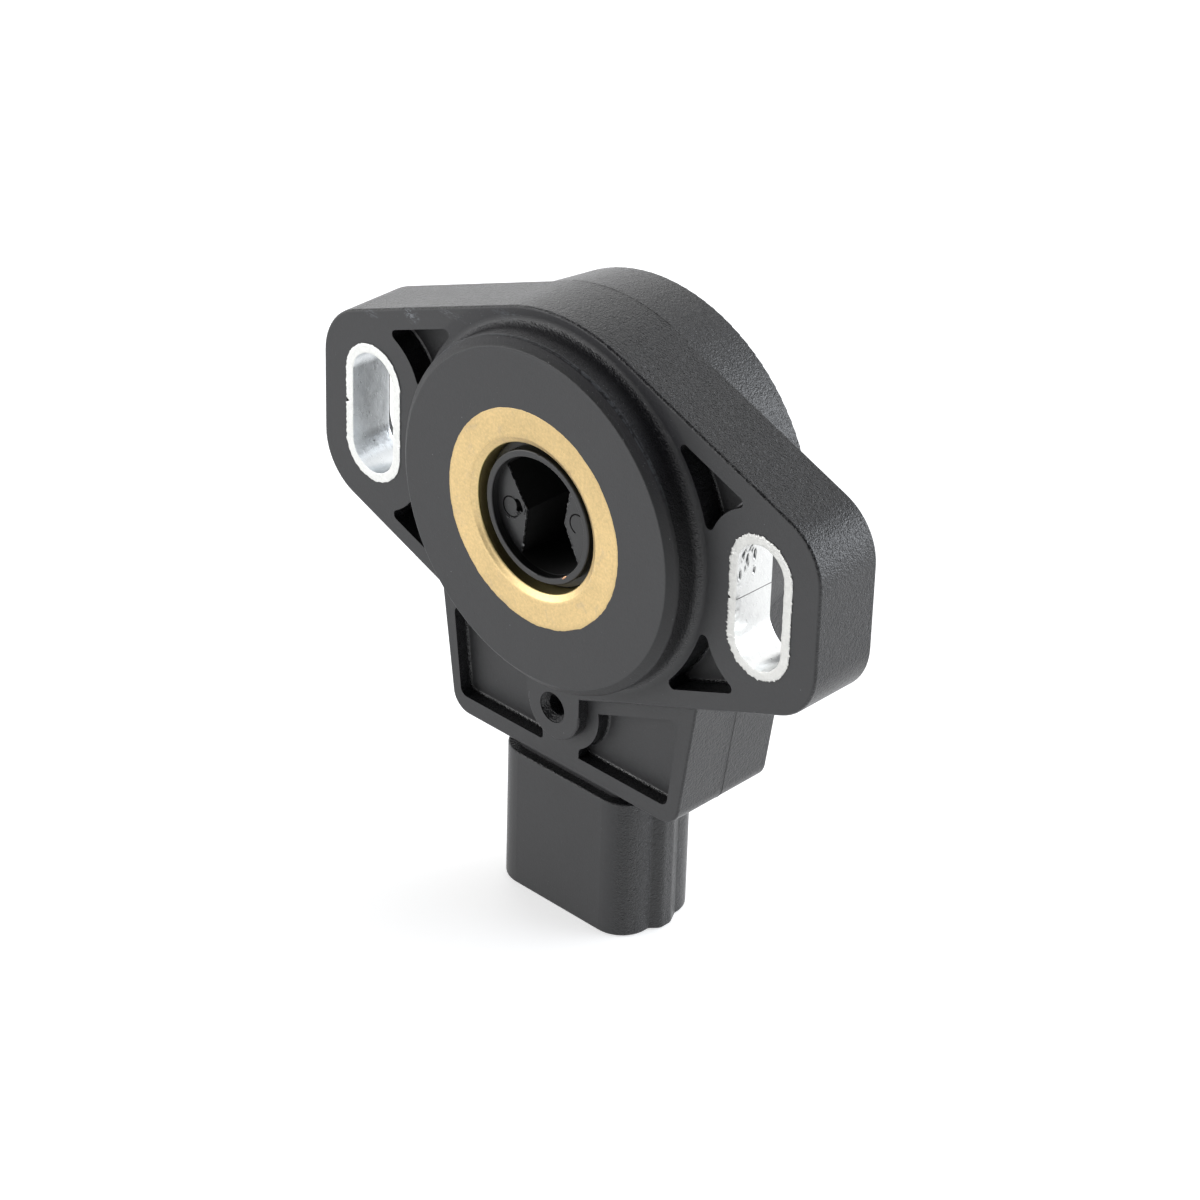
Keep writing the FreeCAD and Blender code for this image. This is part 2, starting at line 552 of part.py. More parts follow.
# Coring pockets in the ears: each is bounded by an arc about the rotor's
# axis, a line parallel to the flange's edge and an arc about the slot's end.
def ear_pocket(name, sx, sz):
    r0, r1 = D.ear_pocket_inner_r, D.ear_pocket_boss_r
    bx = D.ear_pocket_boss_x
    bz = D.ear_pocket_boss_z if sz > 0 else D.ear_pocket_boss_low
    w = D.flange_arc_r - (D.ear_pocket_wall if sz > 0 else D.ear_pocket_wall_low)
    c, n = ca.value, sa.value

    def meet_line(cx, cz, r, pick):
        d = w.value - (cx * n + cz * c)
        span = math.sqrt(r * r - d * d)
        return [(cx + n * d + k * c * span, cz + c * d - k * n * span) for k in (1, -1)][pick]

    def meet_arcs():
        dx, dz = bx.value, bz.value
        dist = math.hypot(dx, dz)
        a = (r0.value ** 2 - r1.value ** 2 + dist ** 2) / (2 * dist)
        up = math.sqrt(r0.value ** 2 - a * a)
        return (a * dx / dist - up * dz / dist, a * dz / dist + up * dx / dist)

    pa = meet_line(0, 0, r0.value, 0)
    pb = meet_line(bx.value, bz.value, r1.value, 1)
    pc = meet_arcs()
    sk = sketch(housing, name, "XZ_Plane", 0)

    def seg(cx, cz, r, p, q):
        a0 = math.atan2(sz * (p[1] - cz), sx * (p[0] - cx))
        a1 = math.atan2(sz * (q[1] - cz), sx * (q[0] - cx))
        if (a1 - a0) % (2 * math.pi) > math.pi:
            a0, a1 = a1, a0
            return arc(sx * cx, sz * cz, r, a0, a1 if a1 > a0 else a1 + 2 * math.pi), True
        return arc(sx * cx, sz * cz, r, a0, a1 if a1 > a0 else a1 + 2 * math.pi), False

    g_in, flip_in = seg(0, 0, r0.value, pc, pa)
    g_out, flip_out = seg(bx.value, bz.value, r1.value, pb, pc)
    i0 = sk.addGeometry(g_in, False)
    i1 = sk.addGeometry(Part.LineSegment(Vector(sx * pa[0], sz * pa[1], 0), Vector(sx * pb[0], sz * pb[1], 0)), False)
    i2 = sk.addGeometry(g_out, False)
    sk.addConstraint(Sketcher.Constraint("Coincident", i0, 1 if flip_in else 2, i1, 1))
    sk.addConstraint(Sketcher.Constraint("Coincident", i1, 2, i2, 2 if flip_out else 1))
    sk.addConstraint(Sketcher.Constraint("Coincident", i2, 1 if flip_out else 2, i0, 2 if flip_in else 1))
    sk.addConstraint(Sketcher.Constraint("Coincident", i0, 3, -1, 1))
    radius(sk, i0, r0)
    radius(sk, i2, r1)
    fix(sk, "DistanceX", i2, 3, sx * bx)
    fix(sk, "DistanceY", i2, 3, sz * bz)
    k = sk.addConstraint(Sketcher.Constraint("Distance", -1, 1, i1, w.value))
    sk.setExpression("Constraints[%d]" % k, w.text)
    base = D.flange_edge_angle
    exprs = {(1, 1): -base, (1, -1): base, (-1, 1): base - 180, (-1, -1): 180 - base}
    q = exprs[(sx, sz)]
    k = sk.addConstraint(Sketcher.Constraint("Angle", i1, math.radians(q.value)))
    sk.setExpression("Constraints[%d]" % k, q.text)
    pocket(housing, sk, D.ear_pocket_depth)
    d = D.ear_pocket_depth.value

    def is_tip(e, p, a, b):
        if not along_y(e, a, b) or abs(abs(a.y - b.y) - d) > 0.01 or abs(p.y - d / 2) > 0.01:
            return False
        return p.x * sx > 12 and p.z * sz > 3 and abs(p.x) < 24
    dress(housing, "Fillet", is_tip, D.ear_pocket_tip_r, name + "Tips")

    def is_floor(e, p, a, b):
        return flat_y(a, b, p, d) and p.x * sx > 12 and p.z * sz > 3 and abs(p.x) < 24
    dress(housing, "Fillet", is_floor, D.pocket_floor_r, name + "Floor")


for name, sx, sz in (("PocketUpperRight", 1, 1), ("PocketLowerRight", 1, -1),
                     ("PocketUpperLeft", -1, 1), ("PocketLowerLeft", -1, -1)):
    ear_pocket(name, sx, sz)

# Slots for the two sleeves.
half_run = (D.slot_length - D.slot_width) / 2
for name, sx in (("SlotLeft", -1), ("SlotRight", 1)):
    pocket_y(housing, name, lambda s: stadium(s, sx * D.slot_pitch_half, 0, half_run, D.slot_width / 2),
             -0.5, D.flange_thick + 0.5)

# Bore of the bush, seat of the seal and the stepped room behind the disc.
turn(housing, "Inside", [
    (0, -D.disc_height - 1), (D.bush_r, -D.disc_height - 1), (D.bush_r, D.bush_groove_front),
    (D.bush_groove_r, D.bush_groove_front), (D.bush_groove_r, D.bush_groove_rear),
    (D.bush_r, D.bush_groove_rear), (D.bush_r, D.bush_rear_y), (D.seal_seat_r, D.bush_rear_y),
    (D.seal_seat_r, D.boss_ring_y), (D.boss_ring_r, D.boss_ring_y), (D.boss_ring_r, D.spring_floor_y),
    (D.spring_room_r, D.spring_floor_y), (D.spring_room_r, D.board_ledge_y),
    (D.board_room_r, D.board_ledge_y), (D.board_room_r, D.cover_ledge_y),
    (D.cover_room_r, D.cover_ledge_y), (D.cover_room_r, D.can_end_y + 1), (0, D.can_end_y + 1)], cut=True)

# Two stops for the rotor's lug stand on the wall of the room.
def sector(r0, r1, mid, width):
    """Block across a radius: inner and outer distance, direction, width."""
    c, s_ = cosd(mid), sind(mid)
    h_ = width / 2
    return [(r0 * c + h_ * s_, r0 * s_ - h_ * c), (r1 * c + h_ * s_, r1 * s_ - h_ * c),
            (r1 * c - h_ * s_, r1 * s_ + h_ * c), (r0 * c - h_ * s_, r0 * s_ + h_ * c)]


for name, ang in (("StopClosed", D.stop_angle_closed), ("StopOpen", D.stop_angle_open)):
    pad_y(housing, name, lambda s: polygon(s, sector(D.stop_inner_r, D.spring_room_r + 0.6, ang, D.stop_width)),
          D.stop_front_y, D.stop_rear_y)

# Notch in the wall for the spring's fixed leg.
pocket_y(housing, "SpringNotch", lambda s: polygon(s, sector(
    D.boss_ring_r + 1, D.spring_notch_r, num(90), D.spring_notch_width)), D.spring_floor_y, D.spring_notch_rear)

# Passages in the block that the terminals fill.
for i, name in ((-1, "PassageSupply"), (0, "PassageSignal"), (1, "PassageGround")):
    x = i * D.pin_pitch
    sk = sketch(housing, name + "Blade", "XY_Plane", D.cavity_floor_z - 0.5)
    rectangle(sk, x - D.blade_width / 2, x + D.blade_width / 2,
              D.blade_y - D.blade_thick / 2, D.blade_y + D.blade_thick / 2)
    pocket(housing, sk, D.blade_step_z - D.cavity_floor_z + 0.5, reverse=True)
    sk = sketch(housing, name + "Pin", "XY_Plane", D.blade_step_z - 0.1)
    rectangle(sk, x - D.pin_width / 2, x + D.pin_width / 2,
              D.blade_y - D.blade_thick / 2, D.blade_y + D.blade_thick / 2)
    pocket(housing, sk, D.pin_z - D.blade_step_z, reverse=True)

print('left sharp:', SHARP)

# --------------------------------------------------------------------- bush
bush = new_body("shaft_bush")
turn(bush, "BushProfile", [
    (D.bush_mouth_r, -D.disc_height), (D.bush_r, -D.disc_height), (D.bush_r, D.bush_groove_front),
    (D.bush_groove_r, D.bush_groove_front), (D.bush_groove_r, D.bush_groove_rear),
    (D.bush_r, D.bush_groove_rear), (D.bush_r, D.bush_rear_y),
    (D.bush_bore_r + D.bush_rear_lead, D.bush_rear_y), (D.bush_bore_r, D.bush_rear_y - D.bush_rear_lead),
    (D.bush_bore_r, D.bush_mouth_y)])

# ------------------------------------------------------------------ sleeves
# Strip rolled into a slot form; its two ends meet at a butt seam.
for label, sx, seam_side, seam_z in (("sleeve_left", -1, -1, D.seam_z_left), ("sleeve_right", 1, -1, D.seam_z_right)):
    b = new_body(label)
    r_out = D.slot_width / 2
    r_in = r_out - D.sleeve_wall
    cx = sx * D.slot_pitch_half
    pad_y(b, "SleeveOutline" + label[7:].title(), lambda s: stadium(s, cx, 0, half_run, r_out),
          -D.sleeve_proud, D.recess_floor_y + D.sleeve_proud)
    pocket_y(b, "SleeveBore" + label[7:].title(), lambda s: stadium(s, cx, 0, half_run, r_in),
             -0.5, D.flange_thick + 0.5)
    x0 = cx + seam_side * (r_out - D.sleeve_wall / 2)
    gap = D.seam_notch_left if sx < 0 else D.seam_notch_right
    pocket_y(b, "SeamNotch" + label[7:].title(), lambda s: polygon(s, [
        (cx + seam_side * (r_out + 0.05), seam_z - gap / 2), (cx + seam_side * (r_out - gap), seam_z),
        (cx + seam_side * (r_out + 0.05), seam_z + gap / 2)]), -0.5, D.recess_floor_y + 0.5)
    sk = sketch(b, "Seam" + label[7:].title(), "YZ_Plane", x0 - D.sleeve_wall)
    gz = D.seam_gap / 2
    polygon(sk, [(-1, seam_z - gz), (D.flange_thick + 1, seam_z - gz - D.seam_skew),
                 (D.flange_thick + 1, seam_z + gz - D.seam_skew), (-1, seam_z + gz)])
    pocket(b, sk, D.sleeve_wall * 2, reverse=True)

# -------------------------------------------------------------------- rotor
rotor = new_body("rotor")
turn(rotor, "RotorProfile", [
    (0, D.rotor_face_y), (D.neck_r, D.rotor_face_y), (D.neck_r, D.shoulder_y), (D.journal_r, D.shoulder_y),
    (D.journal_r, D.rotor_flange_front), (D.rotor_flange_r, D.rotor_flange_front),
    (D.rotor_flange_r, D.rotor_flange_rear), (D.hub_r, D.rotor_flange_rear), (D.hub_r, D.hub_rear_y),
    (D.stub_r, D.hub_rear_y), (D.stub_r, D.stub_rear_y), (0, D.stub_rear_y)])
# Recess inside the front ring, down to the two drive webs.
pocket_y(rotor, "RingRecess", lambda s: circle(s, 0, 0, D.socket_r), D.rotor_face_y - 0.5, D.web_y)
# Bow-tie drive socket between the webs, cut by lines that meet at each apex
# and closed by the bore's own arc at top and bottom.
def bow_tie(sk):
    r = D.socket_r - 0.02
    left_x, right_x = D.bow_apex_shift - D.web_half_gap, D.bow_apex_shift + D.web_half_gap
    ends = [(r * cosd(q), r * sind(q)) for q in (D.bow_up_left, D.bow_low_left, D.bow_low_right, D.bow_up_right)]
    pts = [ends[0], (left_x, D.bow_apex_left_z), ends[1], ends[2], (right_x, D.bow_apex_right_z), ends[3]]

    def line(p, q):
        return sk.addGeometry(Part.LineSegment(Vector(p[0].value, p[1].value, 0), Vector(q[0].value, q[1].value, 0)), False)

    def rim(q0, q1):
        return sk.addGeometry(arc(0, 0, r.value, math.radians(q0.value), math.radians(q1.value)), False)

    g0 = line(pts[0], pts[1])
    g1 = line(pts[1], pts[2])
    g2 = rim(D.bow_low_left, D.bow_low_right)
    g3 = line(pts[3], pts[4])
    g4 = line(pts[4], pts[5])
    g5 = rim(D.bow_up_right, D.bow_up_left)
    for j in ((g0, 2, g1, 1), (g1, 2, g2, 1), (g2, 2, g3, 1), (g3, 2, g4, 1), (g4, 2, g5, 1), (g5, 2, g0, 1)):
        sk.addConstraint(Sketcher.Constraint("Coincident", *j))
    for g in (g2, g5):
        sk.addConstraint(Sketcher.Constraint("Coincident", g, 3, -1, 1))
        radius(sk, g, r)
    for g, pos, pt in ((g0, 1, pts[0]), (g1, 2, pts[2]), (g3, 1, pts[3]), (g4, 2, pts[5])):
        fix(sk, "DistanceX", g, pos, pt[0])
    for g, pos, pt in ((g0, 2, pts[1]), (g3, 2, pts[4])):
        fix(sk, "DistanceX", g, pos, pt[0])
        fix(sk, "DistanceY", g, pos, pt[1])


pocket_y(rotor, "DriveSocket", bow_tie, D.web_y - 0.2, D.socket_floor_y)
# Round ejector marks on the webs: a whole ring on the left, an open one on
# the right.


def left_mark(s):
    circle(s, D.mark_left_x, D.mark_left_z, D.ejector_mark_r + D.ejector_mark_half)
    circle(s, D.mark_left_x, D.mark_left_z, D.ejector_mark_r - D.ejector_mark_half)


def right_mark(s):
    turns = [55 + 18 * i for i in range(12)]
    polygon(s, [(D.mark_right_x + (D.ejector_mark_r + D.ejector_mark_half) * math.cos(math.radians(q)),
                 D.mark_right_z + (D.ejector_mark_r + D.ejector_mark_half) * math.sin(math.radians(q))) for q in turns]
            + [(D.mark_right_x + (D.ejector_mark_r - D.ejector_mark_half) * math.cos(math.radians(q)),
                D.mark_right_z + (D.ejector_mark_r - D.ejector_mark_half) * math.sin(math.radians(q))) for q in reversed(turns)])


pocket_y(rotor, "MarkLeft", left_mark, D.web_y - 0.2, D.web_y + D.ejector_mark_depth)
pocket_y(rotor, "MarkRight", right_mark, D.web_y - 0.2, D.web_y + D.ejector_mark_depth)
# Torn place beside the left mark.
pocket_y(rotor, "TornPlace", lambda s: polygon(s, [
    (D.torn_x + u, D.torn_z + v) for u, v in (
        (-0.66, 0.48), (-0.51, 0.63), (-0.16, 0.68), (0.09, 0.53), (0.24, 0.23), (0.44, -0.02), (0.49, -0.37),
        (0.34, -0.57), (0.09, -0.47), (-0.11, -0.67), (-0.41, -0.62), (-0.36, -0.17), (-0.46, 0.18), (-0.61, 0.33))]),
         D.web_y - 0.2, D.web_y + D.torn_depth)
# Lug with a slot for the spring's moving leg.
pad_y(rotor, "Lug", lambda s: polygon(s, sector(D.rotor_flange_r - 1, D.lug_r, D.lug_angle, D.lug_width)),
      D.rotor_flange_front, D.rotor_flange_rear)
pocket_y(rotor, "LugSlot", lambda s: polygon(s, sector(D.lug_slot_floor_r, D.lug_r + 0.6, D.lug_angle, D.lug_slot)),
         D.rotor_flange_front - 0.5, D.rotor_flange_rear + 0.5)
# Two stakes that hold the wiper, with formed heads.
for name, sz in (("StakeUpper", 1), ("StakeLower", -1)):
    pad_y(rotor, name, lambda s: circle(s, -D.stake_x, sz * D.stake_z, D.stake_r),
          D.rotor_flange_rear - 0.2, D.rotor_flange_rear + D.wiper_thick)
    pad_y(rotor, name + "Head", lambda s: circle(s, -D.stake_x, sz * D.stake_z, D.stake_head_r),
          D.rotor_flange_rear + D.wiper_thick, D.rotor_flange_rear + D.wiper_thick + D.stake_height)
dress(rotor, "Fillet", lambda e, p, a, b: flat_y(a, b, p, D.rotor_face_y.value) and isinstance(e.Curve, Part.Circle)
      and abs(e.Curve.Radius - D.neck_r.value) < 0.01, 0.18, "RingOuterEdge")
dress(rotor, "Fillet", lambda e, p, a, b: flat_y(a, b, p, D.rotor_face_y.value) and isinstance(e.Curve, Part.Circle)
      and abs(e.Curve.Radius - D.socket_r.value) < 0.01, 0.12, "RingInnerEdge")
dress(rotor, "Fillet", lambda e, p, a, b: flat_y(a, b, p, D.shoulder_y.value) and isinstance(e.Curve, Part.Circle)
      and abs(e.Curve.Radius - D.journal_r.value) < 0.01, 0.15, "ShoulderEdge")

# ------------------------------------------------------------- seal, washers
seal = new_body("rotor_seal")
turn(seal, "SealProfile", [
    (D.seal_bore_r, D.seal_front_y + 0.35), (D.seal_bore_r + 0.35, D.seal_front_y), (D.seal_seat_r, D.seal_front_y),
    (D.seal_seat_r, D.seal_rear_y), (D.seal_bore_r + 0.35, D.seal_rear_y), (D.seal_bore_r, D.seal_rear_y - 0.35)])

thrust = new_body("thrust_washer")
turn(thrust, "ThrustProfile", [
    (D.thrust_bore_r, D.boss_ring_y), (D.thrust_r, D.boss_ring_y),
    (D.thrust_r, D.boss_ring_y + D.thrust_thick), (D.thrust_bore_r, D.boss_ring_y + D.thrust_thick)])

# Dished spring washer between the hub's end and the cover's boss.
pre = new_body("preload_washer")
py = D.hub_rear_y + 0.05
turn(pre, "PreloadProfile", [
    (D.preload_bore_r, py), (D.preload_r, py + D.preload_rise),
    (D.preload_r, py + D.preload_rise + D.preload_thick), (D.preload_bore_r, py + D.preload_thick)])

# ------------------------------------------------------------------- spring
# Torsion spring: an even helix about the rotor's axis, a leg bent outwards
# into the housing's notch and a leg bent back into the rotor's lug.
def v(name):
    return float(getattr(sheet, name))


rw, rc = v("spring_wire_r"), v("spring_coil_r")
pitch = v("spring_pitch")
start, end = 90.0, v("lug_angle")
# The coil starts at the notch at the top and winds back along +Y, towards
# falling angles, until it reaches the lug's slot.
swept = (start - end) % 360.0 + 360.0 * (v("spring_turns") - 1)
helix = Part.makeHelix(pitch, pitch * swept / 360.0, rc)
ex = Vector(math.cos(math.radians(start)), 0, math.sin(math.radians(start)))
ez = Vector(0, 1, 0)
ey = ez.cross(ex)
helix.transformShape(FreeCAD.Matrix(
    ex.x, ey.x, ez.x, 0, ex.y, ey.y, ez.y, v("spring_front_y"), ex.z, ey.z, ez.z, 0, 0, 0, 0, 1))
p0 = helix.Edges[0].valueAt(helix.Edges[0].FirstParameter)
t0 = helix.Edges[0].tangentAt(helix.Edges[0].FirstParameter)
ring = Part.Wire([Part.Circle(p0, t0, rw).toShape()])
coil = Part.Wire(helix.Edges).makePipeShell([ring], True, True)
last = helix.Edges[-1]
p1 = last.valueAt(last.LastParameter)
out = Vector(p0.x, 0, p0.z)
out.normalize()
leg_out = Part.makeCylinder(rw, v("spring_notch_r") - 0.35 - rc, p0, out)
knuckle0 = Part.makeSphere(rw, p0)
leg_back = Part.makeCylinder(rw, v("spring_tail_y") - p1.y, p1, Vector(0, 1, 0))
knuckle1 = Part.makeSphere(rw, p1)
spring_shape = coil.fuse([knuckle0, leg_out, knuckle1, leg_back])
spring = doc.addObject("Part::Feature", "return_spring")
spring.Label = "return_spring"
spring.Shape = spring_shape
spring.Placement = Placement()

# -------------------------------------------------------------------- wiper
# Sheet sector staked to the rotor's rear face, with two rising fingers.
wiper = new_body("wiper")
wy0 = D.rotor_flange_rear
wy1 = D.rotor_flange_rear + D.wiper_thick
pad_y(wiper, "WiperPlate", lambda s: polygon(s, [
    (-D.track_r + 0.9, -4.3), (-6.9, -4.3), (-6.9, 4.3), (-D.track_r + 0.9, 4.3)]), wy0, wy1)
for name, sz in (("HoleUpper", 1), ("HoleLower", -1)):
    pocket_y(wiper, name, lambda s: circle(s, -D.stake_x, sz * D.stake_z, D.stake_r), wy0 - 0.2, wy1 + 0.2)
top = D.board_ledge_y - D.track_height - D.finger_gap
th = D.wiper_thick
for name, r in (("FingerCollector", D.collector_r), ("FingerTrack", D.track_r)):
    # the arm leaves the plate's upper edge, runs to the top of the rotor
    sk = sketch(wiper, name, "YZ_Plane", -r + 0.35 if name == "FingerTrack" else -r)
    polygon(sk, [(wy0, 3.9), (wy0, 4.6), (top - 0.35, 7.0), (top - 0.35, 7.7),
                 (top - 0.35 + th, 7.7), (top, 7.15), (top - 0.02, 6.9), (wy1 + 0.05, 4.55), (wy1, 3.9)])
    pad(wiper, sk, D.finger_width, midplane=True)

# -------------------------------------------------------------------- board
board = new_body("resistor_board")
pad_y(board, "BoardDisc", lambda s: circle(s, 0, 0, D.board_r), D.board_ledge_y, D.board_ledge_y + D.board_thick)
for name, r in (("Collector", D.collector_r), ("Resistor", D.track_r)):
    def ringed(s, r=r):
        circle(s, 0, 0, r + D.track_width / 2 if name == "Collector" else r + D.track_width / 2 - 0.1)
        circle(s, 0, 0, r - D.track_width / 2)
    pad_y(board, name + "Track", ringed, D.board_ledge_y - D.track_height, D.board_ledge_y + 0.2)
pocket_y(board, "BoardHub", lambda s: circle(s, 0, 0, D.board_hole_r), D.board_ledge_y - 0.5,
         D.board_ledge_y + D.board_thick + 0.5)
for i, name in ((-1, "Supply"), (0, "Signal"), (1, "Ground")):
    pocket_y(board, "PinHole" + name, lambda s: circle(s, i * D.pin_pitch, D.pin_z, D.board_pin_hole_r),
             D.board_ledge_y - 0.5, D.board_ledge_y + D.board_thick + 0.5)

# ---------------------------------------------------------------- terminals
for i, label in ((-1, "terminal_supply"), (0, "terminal_signal"), (1, "terminal_ground")):
    t = new_body(label)
    tag = label[9:].title()
    ya, yb = D.blade_y - D.blade_thick / 2, D.blade_y + D.blade_thick / 2
    za, zb = D.pin_z - D.blade_thick / 2, D.pin_z + D.blade_thick / 2
    sk = sketch(t, "Strip" + tag, "YZ_Plane", 0)
    polygon(sk, [(ya, D.blade_step_z - 1), (yb, D.blade_step_z - 1), (yb, za), (D.pin_rear_y, za),
                 (D.pin_rear_y, zb), (ya, zb)])
    pad(t, sk, D.pin_width, midplane=True)
    sk = sketch(t, "Blade" + tag, "YZ_Plane", 0)
    rectangle(sk, ya, yb, D.blade_tip_z, D.blade_step_z)
    pad(t, sk, D.blade_width, midplane=True)
    dress(t, "Chamfer", lambda e, p, a, b: abs(p.z - D.blade_tip_z.value) < 1e-4 and
          abs(abs(p.x) - D.blade_width.value / 2) < 1e-4, D.blade_tip_chamfer, "Tip" + tag)
    dress(t, "Chamfer", lambda e, p, a, b: abs(p.z - D.blade_tip_z.value) < 1e-4 and
          abs(a.x - b.x) > 0.5, 0.25, "Lead" + tag)
    dress(t, "Fillet", lambda e, p, a, b: abs(p.z - zb.value) < 1e-4 and abs(p.y - ya.value) < 1e-4 and
          abs(a.x - b.x) > 0.5, 0.6, "Bend" + tag)
    t.Placement = Placement(Vector((i * D.pin_pitch).value, 0, 0), Rotation())
    t.setExpression("Placement.Base.x", (i * D.pin_pitch).text)

# Solder: a cone of solder on each pin, standing on the board's rear face.
cones = []
by = D.board_ledge_y + D.board_thick
for i, tag in ((-1, "Supply"), (0, "Signal"), (1, "Ground")):
    c = doc.addObject("Part::Cone", "Solder" + tag)
    c.Radius1, c.Radius2, c.Height = D.pad_r.value - 0.5, 0.73, D.solder_height.value
    bind(c, "Radius1", D.pad_r - 0.5)
    bind(c, "Height", D.solder_height)
    c.Placement = Placement(Vector((i * D.pin_pitch).value, by.value, D.pin_z.value), Rotation(Vector(1, 0, 0), -90))
    c.setExpression("Placement.Base.x", (i * D.pin_pitch).text)
    c.setExpression("Placement.Base.y", by.text)
    c.setExpression("Placement.Base.z", D.pin_z.text)
    hole = doc.addObject("Part::Box", "SolderHole" + tag)
    hole.Length, hole.Width, hole.Height = D.pin_width.value, 4.0, D.blade_thick.value
    bind(hole, "Length", D.pin_width)
    bind(hole, "Height", D.blade_thick)
    hole.Placement = Placement(Vector((i * D.pin_pitch).value - D.pin_width.value / 2, by.value - 1,
                                      D.pin_z.value - D.blade_thick.value / 2), Rotation())
    hole.setExpression("Placement.Base.x", (i * D.pin_pitch - D.pin_width / 2).text)
    hole.setExpression("Placement.Base.y", (by - 1).text)
    hole.setExpression("Placement.Base.z", (D.pin_z - D.blade_thick / 2).text)
    cut = doc.addObject("Part::Cut", "Joint" + tag)
    cut.Base, cut.Tool = c, hole
    cones.append(cut)
doc.recompute()
solder = doc.addObject("Part::Compound", "solder_joints")
solder.Label = "solder_joints"
solder.Links = cones

# -------------------------------------------------------------------- cover
cover = new_body("rear_cover")
turn(cover, "CoverProfile", [
    (D.cover_bore_r, D.cover_boss_front), (D.cover_boss_r, D.cover_boss_front), (D.cover_boss_r, D.cover_plate_y),
    (D.cover_skirt_in, D.cover_plate_y), (D.cover_skirt_in, D.cover_skirt_front),
    (D.cover_skirt_r, D.cover_skirt_front), (D.cover_skirt_r, D.cover_groove_front),
    (D.cover_groove_r, D.cover_groove_front), (D.cover_groove_r, D.cover_groove_rear),
    (D.cover_skirt_r, D.cover_groove_rear), (D.cover_skirt_r, D.cover_plate_y),
    (D.cover_r, D.cover_plate_y), (D.cover_r, D.cover_rear_y), (D.cover_dish_r + 0.4, D.cover_rear_y),
    (D.cover_dish_r, D.cover_dish_y), (0, D.cover_dish_y), (0, D.cover_bore_end), (D.cover_bore_r, D.cover_bore_end)])

# Sealing ring in the cover's groove.
ring_seal = doc.addObject("Part::Torus", "cover_seal")
ring_seal.Label = "cover_seal"
ring_seal.Radius1, ring_seal.Radius2 = D.cover_seal_r.value, D.cover_seal_wire.value
bind(ring_seal, "Radius1", D.cover_seal_r)
bind(ring_seal, "Radius2", D.cover_seal_wire)
mid_groove = (D.cover_groove_front + D.cover_groove_rear) / 2
ring_seal.Placement = Placement(Vector(0, mid_groove.value, 0), Rotation(Vector(1, 0, 0), -90))
ring_seal.setExpression("Placement.Base.y", mid_groove.text)

doc.recompute()

NODES = ["housing", "shaft_bush", "sleeve_left", "sleeve_right", "rotor", "rotor_seal", "thrust_washer",
         "preload_washer", "return_spring", "wiper", "resistor_board", "terminal_supply", "terminal_signal",
         "terminal_ground", "solder_joints", "rear_cover", "cover_seal"]

problems = []
for o in doc.Objects:
    if "Invalid" in o.State or "Error" in o.State:
        problems.append("%s is %s" % (o.Name, o.State))
by_label = {o.Label: o for o in doc.Objects}
for n in NODES:
    s = by_label[n].Shape
    want = 3 if n == "solder_joints" else 1
    if s.isNull() or not s.isValid() or len(s.Solids) != want:
        problems.append("%s has a bad shape" % n)
if problems:
    raise RuntimeError("; ".join(problems))

os.makedirs("parts", exist_ok=True)
for n in NODES:
    shape = by_label[n].Shape
    shape.exportStep("parts/%s.step" % n)
    box = shape.BoundBox
    print("%-16s volume %9.1f  x %.2f..%.2f y %.2f..%.2f z %.2f..%.2f" % (
        n, shape.Volume, box.XMin, box.XMax, box.YMin, box.YMax, box.ZMin, box.ZMax))
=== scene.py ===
import bpy
import math
import numpy as np
from mathutils import Matrix, Vector, noise


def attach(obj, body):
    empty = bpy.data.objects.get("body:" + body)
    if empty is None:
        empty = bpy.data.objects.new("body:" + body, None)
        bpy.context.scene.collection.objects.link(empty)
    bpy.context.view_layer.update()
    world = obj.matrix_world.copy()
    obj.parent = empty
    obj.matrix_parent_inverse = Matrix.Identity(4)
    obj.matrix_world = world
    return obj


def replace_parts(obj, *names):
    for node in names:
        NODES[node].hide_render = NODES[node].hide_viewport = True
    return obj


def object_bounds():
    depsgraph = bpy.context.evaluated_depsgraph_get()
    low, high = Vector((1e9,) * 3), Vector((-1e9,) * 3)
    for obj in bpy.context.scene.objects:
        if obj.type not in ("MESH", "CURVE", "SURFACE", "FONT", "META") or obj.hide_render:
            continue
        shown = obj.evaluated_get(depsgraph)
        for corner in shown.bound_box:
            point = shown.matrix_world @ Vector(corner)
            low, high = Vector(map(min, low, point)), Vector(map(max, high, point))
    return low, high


# A throttle position sensor on a pale floor. Lengths in the mesh code are
# millimetres in the row frame and become metres when a mesh is made.
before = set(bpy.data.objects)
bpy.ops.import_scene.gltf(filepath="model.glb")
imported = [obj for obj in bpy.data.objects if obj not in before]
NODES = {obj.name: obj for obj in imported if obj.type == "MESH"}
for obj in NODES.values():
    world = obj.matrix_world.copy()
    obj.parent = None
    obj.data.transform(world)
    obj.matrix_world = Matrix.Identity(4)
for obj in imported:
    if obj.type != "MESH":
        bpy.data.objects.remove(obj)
bpy.context.view_layer.update()
CAD_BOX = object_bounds()
MM = 0.001


